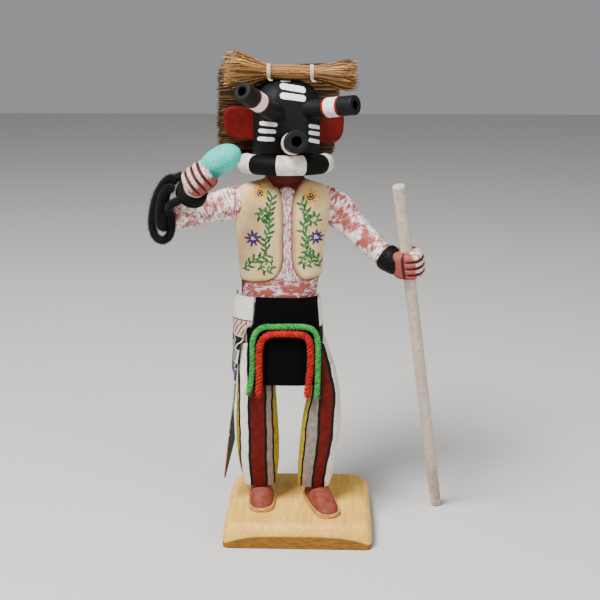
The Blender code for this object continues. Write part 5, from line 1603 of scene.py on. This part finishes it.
def felt_material():
    """Black felt: hardly any shine, and a matted nap in low relief."""
    made, tree, shader = start_material("black_felt", 0.95, 0.05, 0.03)
    spot = place_of(tree)
    matted = noise(tree, spot, 1.6, 6.0, 0.75, 1.2)
    shade = mottled(tree, matted, "#020102", "#080708", 0.35, 0.7)
    finish(tree, shader, shade, matted, 0.30)
    return made


def kilt_piece():
    """The front face is the sheet of felt. Back, edges and loose fibres go with it."""
    felt, inner = felt_material(), felt_inner
    slope = np.gradient(inner[..., 1], axis=1) / np.gradient(inner[..., 0], axis=1)
    out = unit(np.stack([slope, -np.ones_like(slope), 0 * slope], axis=-1))
    uneven = 0.05 * ripple(inner[..., 0], inner[..., 2], 81, 2.0)[..., None]
    outer = inner + out * (FELT_THICKNESS + uneven)
    front = facing(surface(metres(outer), felt, loop_cols=False), (0.0, -1.0, 0.0))
    mid_left = (inner[:, :1] + outer[:, :1]) / 2 + np.array([-0.2, 0.0, 0.0])
    mid_right = (inner[:, -1:] + outer[:, -1:]) / 2 + np.array([0.2, 0.0, 0.0])
    behind = np.concatenate([outer[:, :1], mid_left, inner, mid_right, outer[:, -1:]], axis=1)
    behind = facing(surface(metres(behind), felt, loop_cols=False), (0.0, 1.0, 0.0))
    rims = []
    for row, way in ((0, 1.0), (-1, -1.0)):
        middle = (inner[row] + outer[row]) / 2 + np.array([0.0, 0.0, 0.12 * way])
        rim = surface(metres(np.stack([outer[row], middle, inner[row]])), felt, loop_cols=False)
        rims.append(facing(rim, (0.0, 0.0, way)))
    count = 5200
    row = dice.integers(0, outer.shape[0], count)
    col = dice.integers(0, outer.shape[1], count)
    edge = dice.uniform(0, 1, count) < 0.30
    row = np.where(edge & (dice.uniform(0, 1, count) < 0.5), outer.shape[0] - 1, row)
    col = np.where(edge & (dice.uniform(0, 1, count) < 0.3), 0, col)
    base = outer[row, col]
    way = unit(out[row, col] * 0.45 + dice.normal(0, 0.7, (count, 3)) * (1, 0.25, 1))
    size = dice.uniform(0.25, 0.9, (count, 1, 1))
    t = np.linspace(0.0, 1.0, 4)[None, :, None]
    curl_way = unit(dice.normal(0, 1, (count, 3)))
    line = base[:, None] + way[:, None] * size * t + curl_way[:, None] * size * 0.35 * t ** 2
    radii = np.broadcast_to(0.028 * UNIT * (1 - 0.6 * t[..., 0]), (count, 4))
    hairs = strands(metres(line), radii, felt, (0.3, 0.5, 0.8))
    fibres = piece("felt_fibres", [hairs], [])
    thickness = piece("felt_back_and_edges", [behind] + rims, [])
    cloth = piece("felt_kilt", [front], ["kilt"])
    return cloth


kilt_piece()


def felt_front(x, z):
    """How far forward the felt's outer face stands, read from the inner grid."""
    heights = felt_inner[::-1, 0, 2]
    rows = [np.interp(x, felt_inner[k, :, 0], felt_inner[k, :, 1])
            for k in range(len(felt_inner) - 1, -1, -1)]
    return float(np.interp(z, heights, rows)) - FELT_THICKNESS


# %% Twisted yarns on the felt
def twisted_yarn(path, diameter, plies, pitch, material, side=(0.0, 1.0, 0.0), seed=0):
    """Plies wound round a line: each is a helix that stands off it by a share of the yarn."""
    path = np.asarray(path, float)
    first, second = across(unit(np.gradient(path, axis=0)), side)
    run = np.linspace(0.0, length_of(path), len(path))
    parts = []
    for number in range(plies):
        phase = 2.0 * math.pi * (run / pitch + number / plies)
        off = diameter * 0.262
        line = path + off * (np.cos(phase)[:, None] * first + np.sin(phase)[:, None] * second)
        parts.append(soft_tube(line, diameter * 0.262, 14, material, seed + number, 0.05, side))
    return parts


GREEN_PLAN = [(-27.0, 70.8), (-25.8, 75.6), (-24.6, 84.0), (-24.5, 93.0), (-24.2, 100.0),
              (-22.4, 104.9), (-18.4, 107.9), (-12.0, 108.4), (-4.0, 108.6), (3.0, 108.4),
              (7.8, 106.6), (10.3, 102.0), (10.9, 94.0), (10.8, 83.0), (10.5, 69.8)]
RED_PLAN = [(-21.3, 70.0), (-21.0, 77.0), (-20.9, 86.0), (-20.8, 94.0), (-19.4, 100.4),
            (-15.4, 103.9), (-9.0, 104.7), (-2.0, 104.6), (3.6, 103.6), (6.4, 99.6), (7.0, 92.0),
            (6.6, 83.0), (5.0, 70.0)]


def laid_yarn(name, node, plan, diameter, deep, lit, slot, seed):
    """A twisted yarn laid on the felt along plan (x, z), fuzzy, with a tuft at each end."""
    spots = []
    for x, z in plan:
        inside = min(max(x, -25.0), 10.4)
        front = min(felt_front(inside + off, max(z, 74.6)) for off in (-1.2, 0.0, 1.2))
        spots.append((x, front - diameter * 500.0 - 0.20, z))
    path = curve_through(metres(spots), 520)
    material = wool(slot + "_wool", deep, lit, 0.1)
    parts = twisted_yarn(path, diameter, 3, diameter * 1.75, material, seed=seed)
    parts.append(fuzz(path, diameter / 2, 2600, 0.0012, material, 0.03))
    for end in (path[:6], path[::-1][:6]):
        tuft = end[0] + (end[0] - end[5]) * 0.2
        start = tuft + dice.normal(0, diameter * 0.16, (120, 3))
        down = unit(end[0] - end[5])
        way = unit(down + dice.normal(0, 0.38, (120, 3)))
        t = np.linspace(0.0, 1.0, 5)[None, :, None]
        line = start[:, None] + way[:, None] * 0.0013 * t
        radii = np.broadcast_to(0.00009 * (1 - 0.5 * t[..., 0]), (120, 5))
        parts.append(strands(line, radii, material, (0.3, 0.9, 0.1), ply=0.8))
    print(name, "is", round(length_of(path) * 1000), "mm long")
    return piece(name, parts, [node])


# Each yarn's two colours are a shaded and a lit copy of its dye
laid_yarn("green_edging", "yarn_green", GREEN_PLAN, 0.0031, "#0a5017", "#44b24f", "green_yarn", 90)
laid_yarn("red_edging", "yarn_red", RED_PLAN, 0.0037, "#5e0501", "#cc180b", "red_yarn", 95)

# %% Sash
SASH = [(123.4, -23.7, -14.0, -34.0, 4.6), (115.0, -24.3, -14.2, -35.4, 6.2),
        (108.6, -25.0, -14.4, -36.2, 7.4), (106.8, -27.6, -13.4, -36.4, 7.8),
        (102.0, -29.0, -11.0, -36.8, 9.0), (88.0, -31.8, -9.2, -37.8, 11.4),
        (76.0, -33.8, -7.8, -38.4, 13.2), (62.0, -36.0, -6.8, -38.8, 14.6),
        (48.0, -38.2, -6.2, -38.8, 15.2), (30.0, -40.4, -5.8, -38.4, 15.0)]
SASH_TIP = (15.0, -42.2, -5.6)
SASH_THICKNESS = 1.0


def clear_of_body(x, y, z, room):
    """Push a place in plan straight out from the body until it stands clear of it."""
    for table, power, yaw in ((TORSO, 2.5, BODY_YAW), (HIPS, 2.6, BODY_YAW),
                              (LEG_RIGHT, 2.7, 0.0)):
        heights = [row[0] for row in table]
        if z < heights[0] or z > heights[-1]:
            continue
        left, right, front, back = columns_at(table, np.array([z]), 0.1)[:, 0]
        cx, cy = (left + right) / 2, (front + back) / 2
        dx, dy = x - cx, y - cy
        u = dx * math.cos(yaw) + dy * math.sin(yaw)
        v = -dx * math.sin(yaw) + dy * math.cos(yaw)
        depth = ((np.abs(u) / ((right - left) / 2 + room)) ** power
                 + (np.abs(v) / ((back - front) / 2 + room)) ** power)
        push = np.where(depth < 1.0, np.maximum(depth, 1e-6) ** (-1.0 / power), 1.0)
        x, y = cx + dx * push, cy + dy * push
    return x, y


def sash_material():
    """Weathered white with bands of eight colours."""
    return painted("sash_paint", ("#cfcbc4", "#dedad3"),
                   [("blush", "#b8a39b", "#c9b8b0"), ("red", "#6f1812", "#8d2a20"),
                    ("green", "#4f7056", "#74917a"), ("purple", "#3c2c4c", "#584868"),
                    ("black", "#0b0a09", "#151312"), ("white", "#d6d2cc", "#e6e3dd"),
                    ("tip", "#8a5a40", "#a5745a"), ("olive", "#241a04", "#3d300c")],
                   0.6, 0.14, 0.05, 0.08, 0.05)


def sash_piece():
    """A thin strip down the right hip: its two faces stand off a middle line by half of it."""
    heights = np.concatenate([np.linspace(123.4, 30.0, 190), np.linspace(29.0, 15.0, 30)])
    table = SASH[::-1]
    share = np.linspace(0.0, 1.0, 70)
    rows = []
    for z in heights:
        at = max(z, 30.0)
        fx, fy, bx, by = look_up(table, at)
        x, y = fx + (bx - fx) * share, fy + (by - fy) * share
        low = z + 0 * share
        if z < 30.0:
            drop = (30.0 - z) / (30.0 - SASH_TIP[0])
            keep = np.clip(1.0 - drop, 0.0, 1.0)
            x = x + (SASH_TIP[1] - fx) * (1 - share) * drop
            y = y + (SASH_TIP[2] - fy) * (1 - share) * drop
            low = 30.0 - (30.0 - SASH_TIP[0]) * (1 - share) * drop
        x, y = clear_of_body(x, y, min(at, HIPS[-1][0]), SASH_THICKNESS / 2 + 1.2)
        rows.append(np.stack([x, y, low], axis=1))
    line = np.array(rows)
    slope = np.gradient(line[..., :2], axis=1)
    out = unit(np.stack([-slope[..., 1], slope[..., 0], 0 * slope[..., 0]], axis=-1))
    half = SASH_THICKNESS / 2
    face = line + out * half
    back = line - out * half
    if face[0, 10, 0] > back[0, 10, 0]:
        face, back = back, face
    edge_front = (face[:, :1] + back[:, :1]) / 2 + np.array([0.05, -0.25, 0.0])
    edge_back = (face[:, -1:] + back[:, -1:]) / 2 + np.array([-0.05, 0.25, 0.0])
    ring = np.concatenate([edge_front, face, edge_back, back[:, ::-1]], axis=1)
    wide = np.linalg.norm(line[:, -1] - line[:, 0], axis=1)[:, None]
    run = share[None] * wide
    z = line[..., 2]
    # The bands are on the outer face only; the inner face is a dark olive below, its bare colour
    # darkened as painted shade
    outside = np.full(z.shape, OUTSIDE)
    pairs = {key: (value, outside) for key, value in sash_marks(run, z).items()}
    pairs["olive"] = (outside, 113.0 - z[:, ::-1])
    full = {key: np.pad(np.concatenate([shown[:, :1], shown, shown[:, -1:], inner], axis=1),
                        ((1, 1), (0, 0)), mode="edge") for key, (shown, inner) in pairs.items()}
    return piece("painted_sash", [surface(metres(seamed(ring)), sash_material(), **full)],
                 ["sash"])


def sash_marks(run, z):
    """Bands down the sash: run is the distance from its front edge, z the height."""
    def band(low, high):
        return np.minimum(z - low, high - z) + 0 * run

    comb = 0.40 - np.abs(np.mod(run, 2.4) - 1.2)
    saw = np.abs(np.mod(run, 7.0) - 3.5)
    peak = saw * 1.8 - (z - 93.4)
    hill = 2.9 - saw + (z - 89.0) * 0.2
    marks = {"blush": band(100.6, 110.3), "red": np.minimum(comb, band(101.2, 110.0)),
             "black": np.maximum(band(93.0, 100.4), band(81.8, 85.2))}
    marks["black"] = np.maximum(marks["black"], 0.35 - np.abs(z - 110.4) + 0 * run)
    marks["red"] = np.maximum(marks["red"], np.minimum(band(93.4, 100.0), peak))
    marks["green"] = np.minimum(band(85.6, 92.6), hill)
    marks["green"] = np.maximum(marks["green"], np.minimum(band(42.0, 73.0), 0.9 - run))
    marks["purple"] = band(74.3, 81.4)
    lines = np.maximum(0.30 - np.abs(z - 92.9), 0.30 - np.abs(z - 85.4)) + 0 * run
    slant = np.minimum(0.30 - np.abs(peak) / 2.06, band(93.2, 100.2))
    edge = np.minimum(0.28 - np.abs(hill), band(85.6, 92.6))
    small = 0.80 - np.maximum(np.abs(np.mod(run, 4.6) - 2.3), np.abs(z - 83.5))
    white = np.max([lines, slant, edge, small, 0.28 - np.abs(z - 81.6) + 0 * run], axis=0)
    marks["white"] = white
    marks["tip"] = 41.0 - z + 0 * run
    return marks


sash_piece()

# %% [markdown]
# ## Floor and light
#
# A plain pale floor and soft light: one broad lamp from the upper left in front,
# one weaker from the right, and an even sky, as in a room by day.

# %% Stage
def stage():
    """A wide floor, the sky and two lamps, which stay out of the part."""
    mesh = bpy.data.meshes.new("floor")
    mesh.from_pydata([(-3, -3, 0), (3, -3, 0), (3, 3, 0), (-3, 3, 0)], [], [(0, 1, 2, 3)])
    floor = bpy.data.objects.new("floor", mesh)
    bpy.context.scene.collection.objects.link(floor)
    made, tree, shader = start_material("floor_paper", 0.8, 0.2)
    shader.inputs["Base Color"].default_value = colour("#cfcdc8")
    mesh.materials.append(made)
    sky = bpy.data.worlds.new("sky")
    sky.use_nodes = True
    sky.node_tree.nodes["Background"].inputs["Color"].default_value = (0.80, 0.82, 0.86, 1.0)
    sky.node_tree.nodes["Background"].inputs["Strength"].default_value = 0.38
    bpy.context.scene.world = sky
    for name, spot, size, power in (("key", (-0.42, -0.52, 1.12), 0.45, 33.0),
                                    ("fill", (0.70, -0.60, 0.55), 0.5, 4.5)):
        lamp = bpy.data.lights.new(name, "AREA")
        lamp.size = size
        lamp.energy = power
        thing = bpy.data.objects.new(name, lamp)
        thing.location = spot
        thing.rotation_euler = (Vector((0.0, 0.0, 0.13)) - Vector(spot)).to_track_quat(
            "-Z", "Y").to_euler()
        bpy.context.scene.collection.objects.link(thing)


stage()
